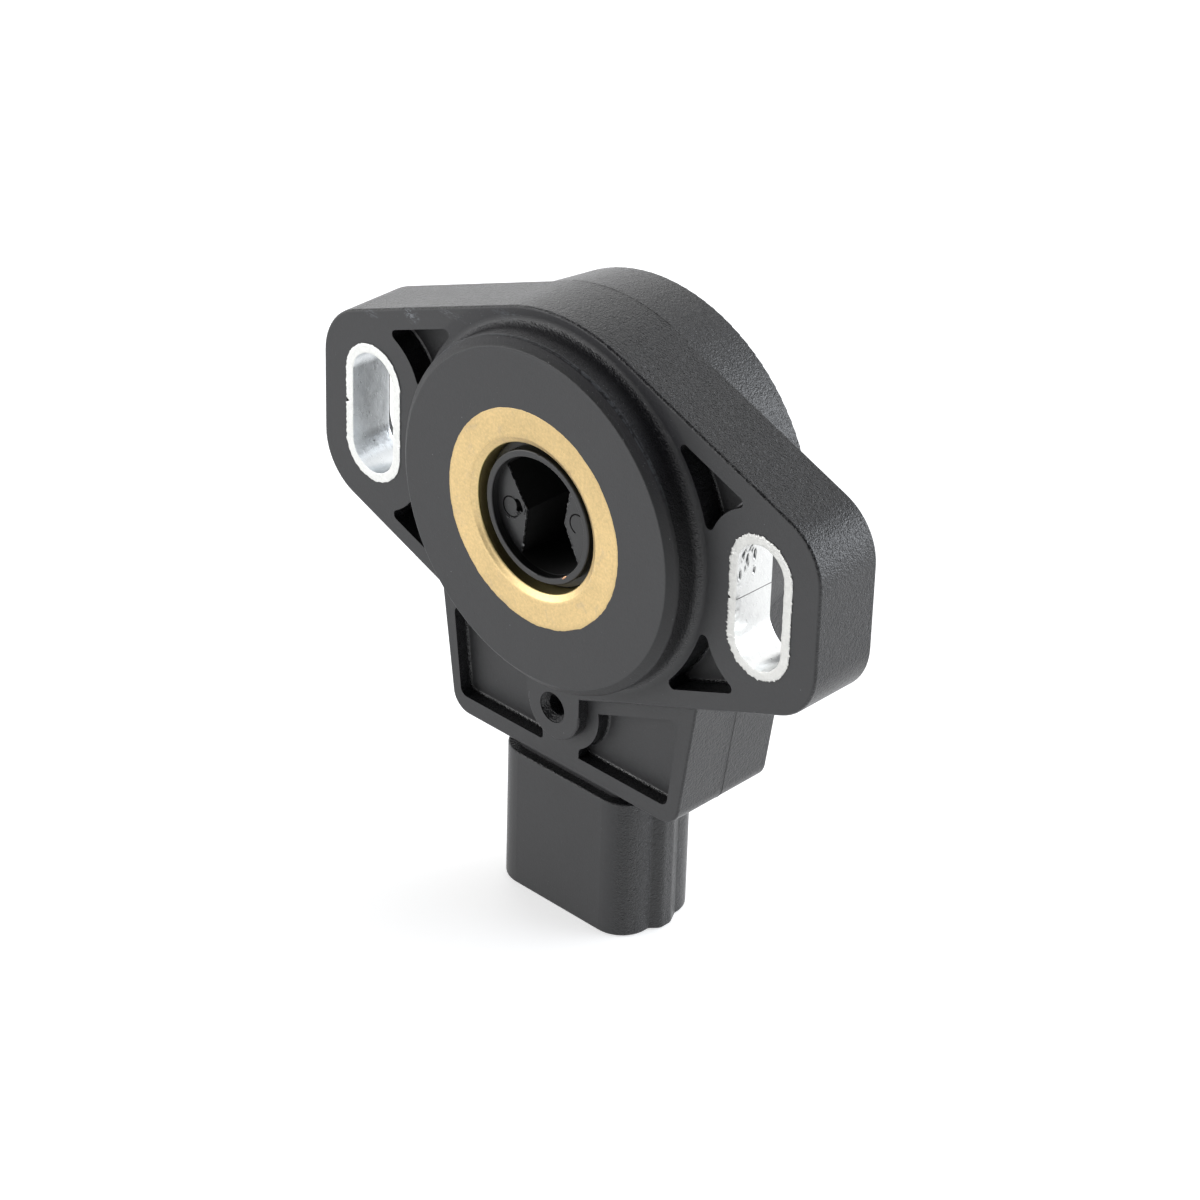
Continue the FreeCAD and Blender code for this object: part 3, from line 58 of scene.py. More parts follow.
# ---------------------------------------------------------------- node trees
class Tree:
    """A surface material whose textures run in object millimetres."""

    def __init__(self, name):
        self.m = bpy.data.materials.new(name)
        self.m.use_nodes = True
        self.nt = self.m.node_tree
        self.nt.nodes.clear()
        self.out = self.nt.nodes.new("ShaderNodeOutputMaterial")
        self.b = self.nt.nodes.new("ShaderNodeBsdfPrincipled")
        self.nt.links.new(self.b.outputs[0], self.out.inputs[0])
        tc = self.nt.nodes.new("ShaderNodeTexCoord")
        sc = self.nt.nodes.new("ShaderNodeVectorMath")
        sc.operation = "SCALE"
        sc.inputs["Scale"].default_value = 1000.0
        self.nt.links.new(tc.outputs["Object"], sc.inputs[0])
        self.p = sc.outputs[0]
        self.x, self.y, self.z = self.split(self.p)
        self.nx, self.ny, self.nz = self.split(tc.outputs["Normal"])
        self.r = self.f("SQRT", self.f("ADD", self.f("MULTIPLY", self.x, self.x), self.f("MULTIPLY", self.z, self.z)))
        self.ang = self.f("ARCTAN2", self.z, self.x)

    def put(self, socket, v):
        if hasattr(v, "is_output"):
            self.nt.links.new(v, socket)
        elif isinstance(v, (tuple, list)) and len(v) == 3 and len(socket.default_value) == 4:
            socket.default_value = (*v, 1.0)
        else:
            socket.default_value = v

    def split(self, v):
        s = self.nt.nodes.new("ShaderNodeSeparateXYZ")
        self.nt.links.new(v, s.inputs[0])
        return s.outputs[0], s.outputs[1], s.outputs[2]

    def vec(self, x, y, z):
        n = self.nt.nodes.new("ShaderNodeCombineXYZ")
        for i, v in enumerate((x, y, z)):
            self.put(n.inputs[i], v)
        return n.outputs[0]

    def f(self, op, a, b=None, c=None, clamp=False):
        n = self.nt.nodes.new("ShaderNodeMath")
        n.operation = op
        n.use_clamp = clamp
        for i, v in enumerate((a, b, c)):
            if v is not None:
                self.put(n.inputs[i], v)
        return n.outputs[0]

    def add(self, *v):
        s = v[0]
        for t in v[1:]:
            s = self.f("ADD", s, t)
        return s

    def mul(self, *v):
        s = v[0]
        for t in v[1:]:
            s = self.f("MULTIPLY", s, t)
        return s

    def step(self, v, lo, hi):
        """0 below lo, 1 above hi, smooth between (falls if lo > hi)."""
        n = self.nt.nodes.new("ShaderNodeMapRange")
        n.interpolation_type = "SMOOTHSTEP"
        n.clamp = True
        up = lo < hi
        self.put(n.inputs["Value"], v)
        n.inputs["From Min"].default_value = lo if up else hi
        n.inputs["From Max"].default_value = hi if up else lo
        n.inputs["To Min"].default_value = 0.0 if up else 1.0
        n.inputs["To Max"].default_value = 1.0 if up else 0.0
        return n.outputs["Result"]

    def band(self, v, centre, half, soft):
        """1 within half of centre, fading over soft."""
        d = self.f("ABSOLUTE", self.f("SUBTRACT", v, centre))
        return self.step(d, half + soft, half)

    def noise(self, scale, detail=3.0, rough=0.55, at=None, stretch=None, distort=0.0):
        n = self.nt.nodes.new("ShaderNodeTexNoise")
        v = at if at is not None else self.p
        if stretch is not None:
            m = self.nt.nodes.new("ShaderNodeVectorMath")
            m.operation = "MULTIPLY"
            self.put(m.inputs[0], v)
            m.inputs[1].default_value = stretch
            v = m.outputs[0]
        self.put(n.inputs["Vector"], v)
        n.inputs["Scale"].default_value = scale
        n.inputs["Detail"].default_value = detail
        n.inputs["Roughness"].default_value = rough
        n.inputs["Distortion"].default_value = distort
        return n.outputs["Fac"]

    def cells(self, scale, at=None, feature="F1", random=1.0):
        n = self.nt.nodes.new("ShaderNodeTexVoronoi")
        n.feature = feature
        self.put(n.inputs["Vector"], at if at is not None else self.p)
        n.inputs["Scale"].default_value = scale
        n.inputs["Randomness"].default_value = random
        return n.outputs["Distance"], (n.outputs["Color"] if feature == "F1" else None)

    def centred(self, v, gain=1.0):
        return self.f("MULTIPLY", self.f("SUBTRACT", v, 0.5), gain)

    def specks(self, scale, size, share, at=None):
        """Sparse round dots: a dot in the given share of cells."""
        d, col = self.cells(scale, at=at)
        pick = self.step(self.split(col)[0], 1.0 - share, 1.0 - share + 0.02)
        dot = self.step(d, size * scale, size * scale * 0.45)
        return self.mul(dot, pick)

    def blob(self, x, y, z, rx, ry, rz):
        """Soft ellipsoid mask about a point."""
        q = []
        for v, c, s in ((self.x, x, rx), (self.y, y, ry), (self.z, z, rz)):
            d = self.f("DIVIDE", self.f("SUBTRACT", v, c), s)
            q.append(self.f("MULTIPLY", d, d))
        return self.step(self.add(*q), 1.0, 0.15)

    def mix(self, fac, a, b):
        n = self.nt.nodes.new("ShaderNodeMix")
        n.data_type = "RGBA"
        self.put(n.inputs[0], fac)
        self.put(n.inputs[6], a)
        self.put(n.inputs[7], b)
        return n.outputs[2]

    def mixf(self, fac, a, b):
        n = self.nt.nodes.new("ShaderNodeMix")
        n.data_type = "FLOAT"
        self.put(n.inputs[0], fac)
        self.put(n.inputs[2], a)
        self.put(n.inputs[3], b)
        return n.outputs[0]

    def scale_colour(self, col, k):
        n = self.nt.nodes.new("ShaderNodeVectorMath")
        n.operation = "SCALE"
        self.put(n.inputs[0], col)
        self.put(n.inputs["Scale"], k)
        return n.outputs[0]

    def bump(self, height, strength=1.0):
        """Height in millimetres."""
        n = self.nt.nodes.new("ShaderNodeBump")
        n.inputs["Distance"].default_value = MM
        self.put(n.inputs["Strength"], strength)
        self.put(n.inputs["Height"], height)
        self.nt.links.new(n.outputs[0], self.b.inputs["Normal"])
        return n

    def done(self, colour, rough, metal=0.0, spec=None):
        self.put(self.b.inputs["Base Color"], colour)
        self.put(self.b.inputs["Roughness"], rough)
        self.b.inputs["Metallic"].default_value = metal
        if spec is not None:
            self.b.inputs["Specular IOR Level"].default_value = spec
        return self.m


# ------------------------------------------------------------------ plastics
PARTING_Y = 7.55


def housing_plastic():
    t = Tree("housing_plastic")
    front = t.step(t.f("ABSOLUTE", t.ny), 0.80, 0.96)
    side = t.f("SUBTRACT", 1.0, front)
    # spark-eroded grain on the walls, a finer one on the faces
    coarse = t.noise(2.7, 2.0, 0.75)
    fine = t.noise(6.4, 1.0, 0.6)
    grain = t.add(t.centred(coarse, 1.0), t.centred(fine, 0.8))
    # the turned-down chamfer of the pilot disc has none
    rim = t.mul(t.step(t.y, -2.45, -2.75), t.step(t.r, 16.9, 17.1))
    tall = t.mul(t.mixf(side, 0.014, 0.108), t.f("SUBTRACT", 1.0, t.mul(rim, 0.85)))
    waves = t.centred(t.noise(0.16, 1.0, 0.5), 0.05)
    # colour: broad cloudiness from the melt, then fine mottling
    cloud = t.noise(0.09, 3.0, 0.6, distort=0.6)
    mott = t.noise(2.2, 2.0, 0.6)
    fibre = t.noise(1.1, 2.0, 0.7, stretch=(1.0, 1.0, 3.5))
    tone = t.add(1.0, t.centred(cloud, 0.30), t.centred(mott, 0.34), t.centred(fibre, 0.28), t.mul(grain, side, 1.6))
    base = t.scale_colour(t.mix(side, (0.0235, 0.0238, 0.0255), (0.0125, 0.0128, 0.0140)), tone)
    # painted shade: the disc's chamfer and side, and the cored pockets' floors, are darkened where shade falls on them
    disc_shade = t.f("MAXIMUM", t.mul(rim, side, t.step(t.add(t.x, t.z), -4.0, 12.0)), t.mul(side, t.step(t.y, -0.35, -0.7)))
    pocket_floor_shade = t.mul(front, t.band(t.y, 2.45, 0.10, 0.05), t.step(t.f("ABSOLUTE", t.x), 15.0, 16.0), t.step(t.z, -14.0, -13.0))
    base = t.mix(t.mul(t.f("MAXIMUM", disc_shade, t.mul(pocket_floor_shade, 0.8)), 0.72), base, (0.0030, 0.0030, 0.0040))
    # painted shade: a dark line along the mould parting line round the block, the can and the connector, standing for
    # the shaded step between the mould halves
    line = t.mul(t.band(t.y, PARTING_Y, 0.050, 0.025), side, t.step(t.z, -30.0, -29.6))
    base = t.mix(t.mul(line, 0.92), base, (0.001, 0.001, 0.001))
    # handling rubs: cool grey smears on the flange's top edge and beside it
    streak = t.noise(2.6, 3.0, 0.7, stretch=(0.5, 2.0, 2.4), distort=1.2)
    rub = t.f("MAXIMUM", t.blob(-20.0, 0.1, 12.6, 1.25, 1.4, 1.0), t.mul(t.blob(-7.6, 0.1, 17.4, 2.2, 1.2, 0.8), 0.8))
    rub = t.f("MAXIMUM", rub, t.mul(t.blob(-25.6, 0.1, 10.7, 1.3, 0.9, 0.5), 0.35))
    rub = t.f("MAXIMUM", rub, t.mul(t.blob(-14.5, 0.1, 14.6, 2.4, 0.9, 0.5), 0.4))
    rub = t.mul(rub, t.step(streak, 0.47, 0.62))
    # arcs worn on the disc's rim
    arcs = t.noise(1.0, 2.0, 0.6, at=t.vec(t.mul(t.r, 9.0), t.mul(t.ang, 1.6), t.mul(t.y, 3.0)))
    worn = t.mul(t.band(t.r, 17.35, 0.55, 0.25), t.step(t.y, -2.2, -2.7), t.step(t.z, 8.0, 14.0), t.step(arcs, 0.58, 0.68))
    edge = t.mul(t.band(t.r, 17.84, 0.05, 0.05), t.step(t.y, -2.45, -2.7), t.step(t.z, 6.0, 13.0), t.step(arcs, 0.36, 0.50))
    marks = t.f("MAXIMUM", rub, t.f("MAXIMUM", t.mul(worn, 0.10), t.mul(edge, 0.60, t.step(mott, 0.38, 0.55))))
    base = t.mix(t.mul(marks, 0.72), base, (0.20, 0.216, 0.236))
    green = t.mul(t.blob(-20.6, 0.0, -1.95, 0.28, 0.4, 0.34), t.step(t.noise(5.0, 2.0, 0.6), 0.46, 0.58))
    base = t.mix(t.mul(green, 0.5), base, (0.16, 0.22, 0.17))
    # dust and tiny nicks; painted shade darkens the upper corner round the disc's root, where more dust also gathers
    hollow = t.mul(t.band(t.r, 18.4, 1.5, 0.6), t.step(t.y, -3.5, -3.2), t.step(t.y, 0.6, 0.1))
    # painted shade: the upper part of the root fillet round the disc is darkened where shade falls in the corner
    root_shade_and_dust = t.mul(hollow, t.step(t.z, 6.0, 12.0))
    base = t.mix(t.mul(root_shade_and_dust, 0.55), base, (0.0060, 0.0055, 0.0090))
    powder = t.mul(rim, t.step(t.z, 8.0, 13.0))
    dust = t.f("MAXIMUM", t.specks(0.75, 0.055, 0.20), t.mul(t.specks(1.7, 0.045, 0.36), t.add(0.35, t.mul(t.f("MAXIMUM", hollow, powder), 0.65))))
    dust = t.f("MAXIMUM", dust, t.mul(t.specks(3.4, 0.042, 0.5), t.f("MAXIMUM", root_shade_and_dust, powder), 0.7))
    lint = t.mul(t.specks(0.42, 0.085, 0.13), t.step(t.noise(6.0, 2.0, 0.5), 0.42, 0.6))
    base = t.mix(t.f("MAXIMUM", t.mul(dust, 0.55), t.mul(lint, 0.5)), base, (0.30, 0.31, 0.32))
    # polished inside corners of the cored pockets
    turn = t.mul(t.step(t.ny, -0.20, -0.35), t.step(t.ny, -0.97, -0.90))
    ear = t.mul(t.band(t.y, 2.2, 0.28, 0.05), t.step(t.f("ABSOLUTE", t.x), 15.0, 16.0), t.step(t.z, -14.0, -13.0))
    low = t.mul(t.band(t.y, 2.55, 0.28, 0.05), t.step(t.z, -17.0, -18.0))
    glossy = t.mul(turn, t.f("MAXIMUM", ear, low))
    # painted highlight: thin light arc along the foot of each ear's boss wall, where the fillet catches the light
    ex, ez = t.f("SUBTRACT", t.f("ABSOLUTE", t.x), 25.25), t.f("SUBTRACT", t.z, 3.45)
    foot_highlight = t.band(t.f("SQRT", t.add(t.mul(ex, ex), t.mul(ez, ez))), 6.52, 0.06, 0.06)
    foot_highlight = t.mul(foot_highlight, t.step(t.y, 2.05, 2.2), t.step(t.y, 2.6, 2.5), t.step(t.z, 2.0, 3.0), t.step(t.f("ABSOLUTE", t.x), 25.5, 24.5))
    base = t.mix(t.mul(foot_highlight, t.mixf(mott, 0.6, 1.0)), base, (0.24, 0.24, 0.25))
    rough = t.add(t.mixf(side, 0.52, 0.32), t.centred(cloud, 0.05), t.centred(mott, 0.07), t.mul(grain, side, 0.16), t.mul(marks, 0.10), t.mul(glossy, -0.20), t.mul(disc_shade, 0.22))
    t.bump(t.add(t.mul(grain, tall), waves))
    return t.done(base, rough)


def cover_plastic():
    t = Tree("cover_plastic")
    back = t.step(t.ny, 0.8, 0.96)
    flow = t.noise(0.5, 4.0, 0.6, at=t.vec(t.mul(t.r, 0.7), t.mul(t.ang, 2.4), 0.0), distort=0.8)
    fine = t.noise(7.0, 3.0, 0.6)
    tone = t.add(1.0, t.centred(flow, 0.4), t.centred(fine, 0.3))
    base = t.scale_colour((0.019, 0.0195, 0.0205), tone)
    dust = t.specks(0.9, 0.05, 0.2)
    base = t.mix(t.mul(dust, 0.5), base, (0.3, 0.31, 0.32))
    rough = t.add(0.40, t.centred(flow, 0.12), t.centred(fine, 0.08))
    t.bump(t.add(t.mul(t.centred(fine, 1.0), t.mixf(back, 0.004, 0.008)), t.centred(t.noise(0.3, 2.0, 0.5), 0.015)))
    return t.done(base, rough)


def rotor_plastic(name="rotor_plastic", dusty=0.0):
    t = Tree(name)
    face = t.step(t.ny, -0.75, -0.95)
    rings = t.noise(1.0, 2.0, 0.65, at=t.vec(t.mul(t.r, 13.0), t.mul(t.ang, 0.5), t.mul(t.y, 1.0)))
    fine = t.noise(6.0, 3.0, 0.6)
    cloud = t.noise(0.45, 3.0, 0.6, distort=0.5)
    tone = t.add(1.0, t.centred(cloud, 0.4), t.centred(fine, 0.35), t.mul(face, t.centred(rings, 0.25)))
    base = t.scale_colour((0.016, 0.0163, 0.0172), tone)
    dust = t.f("MAXIMUM", t.specks(1.1, 0.06, 0.28), t.specks(2.6, 0.03, 0.22))
    smear = t.mul(t.step(t.noise(1.4, 4.0, 0.7, distort=1.0), 0.60, 0.74), face)
    base = t.mix(t.mul(smear, 0.10 + dusty * 0.3), base, (0.20, 0.205, 0.21))
    base = t.mix(t.mul(dust, 0.5), base, (0.34, 0.34, 0.33))
    # painted shade: dark turned lines on the ring's inner wall where its small steps fall in shade, and the unlit
    # inside of the socket
    wall = t.mul(t.band(t.r, 6.0, 0.10, 0.06), t.step(t.y, -1.9, -2.0), t.f("SUBTRACT", 1.0, face))
    groove_shade = t.f("MAXIMUM", t.band(t.y, -2.74, 0.035, 0.03), t.f("MAXIMUM", t.band(t.y, -2.50, 0.03, 0.03), t.band(t.y, -2.24, 0.045, 0.03)))
    base = t.mix(t.mul(wall, groove_shade, 0.9), base, (0.001, 0.001, 0.001))
    inside = t.mul(t.step(t.y, -2.03, -1.9), t.step(t.r, 6.05, 5.98), 0.0 if dusty else 1.0)
    base = t.mix(inside, base, (0.0002, 0.0002, 0.0004))
    # painted shade: the two ejector marks, and the torn place beside the left one, are darkened where their sunk floors
    # lie in shade
    pit_shade = t.mul(t.step(t.y, -2.035, -1.99), t.step(t.y, -1.3, -1.4), t.step(t.r, 5.6, 5.4), t.step(t.f("ABSOLUTE", t.x), 2.5, 2.6), 0.0 if dusty else 1.0)
    base = t.mix(t.mul(pit_shade, 0.95), base, (0.0010, 0.0010, 0.0012))
    if dusty:
        chip = t.step(t.noise(4.5, 4.0, 0.7), 0.52, 0.66)
        base = t.mix(t.mul(chip, dusty), base, (0.16, 0.165, 0.17))
    rough = t.add(0.36, t.centred(cloud, 0.14), t.centred(fine, 0.14), t.mul(smear, 0.12), t.mul(inside, 0.5))
    t.bump(t.add(t.centred(fine, 0.006), t.mul(t.centred(rings, 0.009), t.step(t.r, 5.6, 6.0)), t.centred(cloud, 0.03)))
    return t.done(base, rough)


# -------------------------------------------------------------------- metals
def bush_brass():
    t = Tree("bush_brass")
    face = t.step(t.ny, -0.72, -0.95)
    bore = t.mul(t.step(t.r, 7.62, 7.57), t.f("SUBTRACT", 1.0, face))
    turned = t.noise(1.0, 3.0, 0.7, at=t.vec(t.mul(t.r, 17.0), t.mul(t.ang, 1.1), t.mul(t.y, 6.0)))
    porous = t.noise(3.4, 4.0, 0.68)
    cloud = t.noise(0.28, 4.0, 0.62, distort=0.7)
    stain = t.step(t.noise(0.55, 4.0, 0.66, distort=1.4), 0.54, 0.72)
    tone = t.add(1.0, t.centred(cloud, 0.34), t.centred(turned, 0.16), t.centred(porous, 0.62), t.mul(t.step(t.z, 2.0, 10.0), -0.10))
    base = t.scale_colour(t.mix(t.mul(stain, 0.55), (0.66, 0.497, 0.252), (0.54, 0.42, 0.26)), tone)
    # fine scratches across the face
    scr = t.noise(1.0, 2.0, 0.6, at=t.vec(t.mul(t.add(t.x, t.mul(t.z, 0.35)), 9.0), t.mul(t.add(t.z, t.mul(t.x, -0.35)), 0.5), 0.0))
    scratch = t.mul(t.step(scr, 0.68, 0.76), face)
    base = t.mix(t.mul(scratch, 0.35), base, (0.88, 0.72, 0.46))
    rim = t.mul(t.step(t.r, 10.72, 11.02), face)
    base = t.mix(t.mul(rim, t.step(porous, 0.44, 0.6), 0.55), base, (0.42, 0.31, 0.15))
    base = t.mix(t.mul(bore, 0.8), base, (0.44, 0.38, 0.16))
    pit = t.specks(1.5, 0.06, 0.3)
    base = t.mix(t.mul(pit, face, 0.6), base, (0.24, 0.17, 0.07))
    rough = t.add(t.mixf(face, 0.20, 0.50), t.mul(bore, 0.30), t.centred(cloud, 0.10), t.centred(porous, 0.16), t.mul(scratch, -0.1))
    height = t.add(t.mul(t.centred(turned, 0.004), face), t.centred(porous, 0.006), t.mul(pit, -0.012), t.mul(scratch, -0.003))
    t.bump(height)
    return t.done(base, rough, metal=1.0)


def sleeve_metal(name, cx, coarse):
    """Bright rolled strip; the rims are sheared and rougher."""
    t = Tree(name)
    rim = t.step(t.f("ABSOLUTE", t.ny), 0.55, 0.85)
    rolled = t.noise(1.0, 4.0, 0.65, at=t.vec(t.mul(t.x, 1.2), t.mul(t.y, 5.5), t.mul(t.z, 0.9)), distort=0.4)
    drag = t.noise(1.0, 3.0, 0.7, at=t.vec(t.mul(t.x, 2.0), t.mul(t.add(t.y, t.mul(t.z, 0.55)), 2.6), t.mul(t.z, 0.5)), distort=0.9)
    grain = t.noise(7.0, 4.0, 0.7)
    shear = t.noise(4.5, 4.0, 0.72, stretch=(1.0, 0.5, 1.0))
    tone = t.add(0.98, t.centred(rolled, 0.12), t.centred(drag, 0.16), t.mul(t.centred(shear, 0.34), rim))
    base = t.scale_colour(t.mix(rim, (0.78, 0.785, 0.775) if coarse else (0.645, 0.668, 0.68), (0.66, 0.66, 0.64) if coarse else (0.76, 0.765, 0.745)), tone)
    scuff = t.step(t.noise(1.7, 4.0, 0.72, stretch=(1.0, 2.2, 0.7), distort=1.3), 0.60 - 0.05 * coarse, 0.76)
    rimdirt = t.mul(rim, t.step(shear, 0.60, 0.72))
    base = t.mix(t.mul(rimdirt, 0.45), base, (0.40, 0.40, 0.39))
    base = t.mix(t.mul(scuff, 0.04 + 0.36 * coarse, t.f("SUBTRACT", 1.0, rim)), base, (0.36, 0.38, 0.41))
    if coarse:
        # dark torn places on the inner wall, where a tool dragged
        at = [(0.33, 2.13, 0.15, 0.46), (0.64, 4.27, 0.17, 0.60), (1.26, 3.33, 0.15, 0.68), (1.39, 4.66, 0.15, 0.44),
              (2.24, 1.89, 0.13, 0.34), (2.24, 3.63, 0.16, 0.58), (0.95, 2.55, 0.09, 0.34), (1.8, 4.2, 0.10, 0.38)]
        torn = None
        wob = t.centred(t.noise(1.6, 3.0, 0.6), 0.32)
        for gy, gz, wy, wz in at:
            d = t.f("DIVIDE", t.f("SUBTRACT", t.add(t.y, wob), gy), wy)
            e = t.f("DIVIDE", t.f("SUBTRACT", t.z, gz), wz)
            s = t.step(t.add(t.mul(d, d), t.mul(e, e)), 1.25, 0.35)
            torn = s if torn is None else t.f("MAXIMUM", torn, s)
        torn = t.mul(torn, t.step(t.x, cx - 1.2, cx - 2.0), t.f("SUBTRACT", 1.0, rim), t.step(grain, 0.22, 0.42))
        base = t.mix(t.mul(torn, 0.92), base, (0.055, 0.058, 0.065))
    else:
        smudge = t.mul(t.blob(cx + 2.6, 3.7, -1.7, 1.0, 0.5, 1.5), t.step(drag, 0.48, 0.6))
        torn = t.mul(smudge, 0.4)
        base = t.mix(t.mul(smudge, 0.6), base, (0.17, 0.20, 0.25))
    # the closed butt seam inside: a painted highlight as a fine bright line on the left, a dark torn joint on the right
    seam_sheen_and_joint = t.band(t.f("SUBTRACT", t.z, t.mul(t.add(t.y, 1.0), -0.0125)), -0.33 if coarse else 0.13, 0.035 if coarse else 0.02, 0.03)
    seam_sheen_and_joint = t.mul(seam_sheen_and_joint, t.step(t.x, cx - 2.0, cx - 2.5), t.step(t.y, -0.05, 0.05))
    base = t.mix(t.mul(seam_sheen_and_joint, 0.85 if coarse else 0.16), base, (0.10, 0.10, 0.10) if coarse else (0.92, 0.92, 0.91))
    rough = t.add(t.mixf(rim, 0.30, 0.50), t.centred(rolled, 0.16), t.centred(grain, 0.14), t.mul(scuff, 0.14 * coarse), t.mul(torn, 0.25))
    height = t.add(t.centred(rolled, 0.008), t.centred(drag, 0.010), t.mul(t.centred(shear, 0.05), rim), t.centred(grain, 0.006),
                   t.mul(torn, -0.02))
    t.bump(height)
    return t.done(base, rough, metal=1.0)


def drawn_metal(name, colour, rough0, lines=0.006, along="y", tarnish=None):
    """Strip or wire with its drawing lines and a little tarnish."""
    t = Tree(name)
    s = {"x": (0.4, 9.0, 9.0), "y": (9.0, 0.4, 9.0), "z": (9.0, 9.0, 0.4)}[along]
    draw = t.noise(1.0, 3.0, 0.7, stretch=s)
    fine = t.noise(9.0, 3.0, 0.65)
    cloud = t.noise(0.6, 4.0, 0.6, distort=0.8)
    tone = t.add(1.0, t.centred(cloud, 0.22), t.centred(draw, 0.14), t.centred(fine, 0.12))
    base = t.scale_colour(colour, tone)
    if tarnish:
        base = t.mix(t.mul(t.step(cloud, 0.52, 0.70), 0.4), base, tarnish)
    rough = t.add(rough0, t.centred(cloud, 0.14), t.centred(draw, 0.12))
    t.bump(t.add(t.centred(draw, lines), t.centred(fine, 0.003)))
    return t.done(base, rough, metal=1.0)


def solder_metal():
    t = Tree("solder")
    crys, _ = t.cells(3.2)
    cloud = t.noise(1.1, 4.0, 0.6, distort=0.6)
    flux = t.step(t.noise(2.0, 3.0, 0.6), 0.58, 0.70)
    base = t.scale_colour((0.80, 0.80, 0.79), t.add(1.0, t.centred(cloud, 0.25), t.centred(crys, 0.10)))
    base = t.mix(t.mul(flux, 0.3), base, (0.42, 0.32, 0.15))
    t.bump(t.add(t.centred(crys, 0.012), t.centred(cloud, 0.02)))
    return t.done(base, t.add(0.24, t.centred(cloud, 0.2)), metal=1.0)


# ---------------------------------------------------------------- other parts
def seal_rubber():
    t = Tree("seal_rubber")
    fine = t.noise(5.0, 4.0, 0.65)
    bloom = t.noise(0.7, 4.0, 0.6, distort=0.7)
    base = t.scale_colour((0.018, 0.018, 0.018), t.add(1.0, t.centred(fine, 0.4), t.centred(bloom, 0.6)))
    base = t.mix(t.mul(t.step(bloom, 0.56, 0.74), 0.25), base, (0.09, 0.09, 0.085))
    t.bump(t.add(t.centred(fine, 0.012), t.centred(bloom, 0.02)))
    return t.done(base, t.add(0.62, t.centred(bloom, 0.14)))


def washer_plastic():
    t = Tree("washer_plastic")
    turn = t.noise(1.0, 3.0, 0.6, at=t.vec(t.mul(t.r, 9.0), t.mul(t.ang, 1.0), t.y))
    fine = t.noise(5.0, 3.0, 0.6)
    worn = t.mul(t.band(t.r, 9.8, 0.9, 0.6), t.step(turn, 0.45, 0.62))
    base = t.scale_colour((0.66, 0.64, 0.57), t.add(1.0, t.centred(fine, 0.10), t.centred(turn, 0.08)))
    base = t.mix(t.mul(worn, 0.35), base, (0.38, 0.37, 0.34))
    t.bump(t.add(t.centred(turn, 0.006), t.centred(fine, 0.004)))
    return t.done(base, t.add(0.46, t.mul(worn, -0.1), t.centred(fine, 0.1)))


def board_ceramic():
    """White ceramic; printed conductor and resistor rings on the front, silver pads at the back."""
    t = Tree("board_ceramic")
    fine = t.noise(6.5, 4.0, 0.6)
    speck = t.specks(1.6, 0.06, 0.3)
    base = t.scale_colour((0.78, 0.765, 0.71), t.add(1.0, t.centred(fine, 0.10), t.centred(t.noise(0.5, 3.0, 0.6), 0.08)))
    base = t.mix(t.mul(speck, 0.4), base, (0.35, 0.34, 0.32))
    raised = t.step(t.y, 8.195, 8.165)
    ring = t.mul(raised, t.band(t.r, 8.4, 1.2, 0.03))
    track = t.mul(raised, t.band(t.r, 11.95, 1.2, 0.03))
    wipe = t.f("MAXIMUM", t.band(t.r, 8.4, 0.45, 0.2), t.band(t.r, 11.6, 0.45, 0.2))
    polish = t.mul(wipe, t.step(t.noise(1.0, 2.0, 0.6, at=t.vec(t.mul(t.r, 12.0), t.mul(t.ang, 1.2), 0.0)), 0.40, 0.6))
    base = t.mix(ring, base, t.scale_colour((0.52, 0.52, 0.50), t.add(1.0, t.centred(fine, 0.2), t.mul(polish, 0.3))))
    base = t.mix(track, base, t.scale_colour((0.035, 0.035, 0.037), t.add(1.0, t.centred(fine, 0.3), t.mul(polish, 1.0))))
    rear = t.step(t.y, 9.17, 9.19)
    pads = None
    for px in (-5.0, 0.0, 5.0):
        d = t.f("SQRT", t.add(t.f("POWER", t.f("ABSOLUTE", t.f("SUBTRACT", t.x, px)), 2.0),
                              t.f("POWER", t.f("ABSOLUTE", t.f("ADD", t.z, 13.4)), 2.0)))
        s = t.step(d, 1.48, 1.42)
        pads = s if pads is None else t.f("MAXIMUM", pads, s)
    base = t.mix(t.mul(pads, t.f("MAXIMUM", rear, t.step(t.y, 8.23, 8.205))), base, (0.60, 0.59, 0.56))
    rough = t.add(0.48, t.mul(ring, -0.12), t.mul(track, -0.06), t.mul(polish, -0.1), t.centred(fine, 0.1))
    t.bump(t.add(t.centred(fine, 0.006), t.mul(polish, -0.003)))
    return t.done(base, rough)


# ------------------------------------------------------------- mesh-code help
def make(name, points, faces, material, body, smooth=True):
    me = bpy.data.meshes.new(name)
    me.from_pydata([tuple(c * MM for c in q) for q in points], [], faces)
    me.update()
    ob = bpy.data.objects.new(name, me)
    bpy.context.scene.collection.objects.link(ob)
    me.materials.append(material)
    if smooth:
        me.polygons.foreach_set("use_smooth", [True] * len(me.polygons))
    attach(ob, body)
    return ob


def wave(a, b=0.0, c=0.0):
    """Smooth noise from -1 to 1."""
    return noise.noise(Vector((a, b, c)))


def rough_wave(a, b=0.0, c=0.0, octaves=4):
    s, k, g = 0.0, 1.0, 1.0
    for _ in range(octaves):
        s += g * wave(a * k, b * k + 7.3 * k, c * k)
        k *= 2.0
        g *= 0.55
    return s


# -------------------------------------------------------------- rolled sleeves
SLOT_X, HALF_RUN, R_OUT, WALL = 25.3, 3.605, 3.77, 0.95
FRONT_Y, BACK_Y = -0.06, 4.80


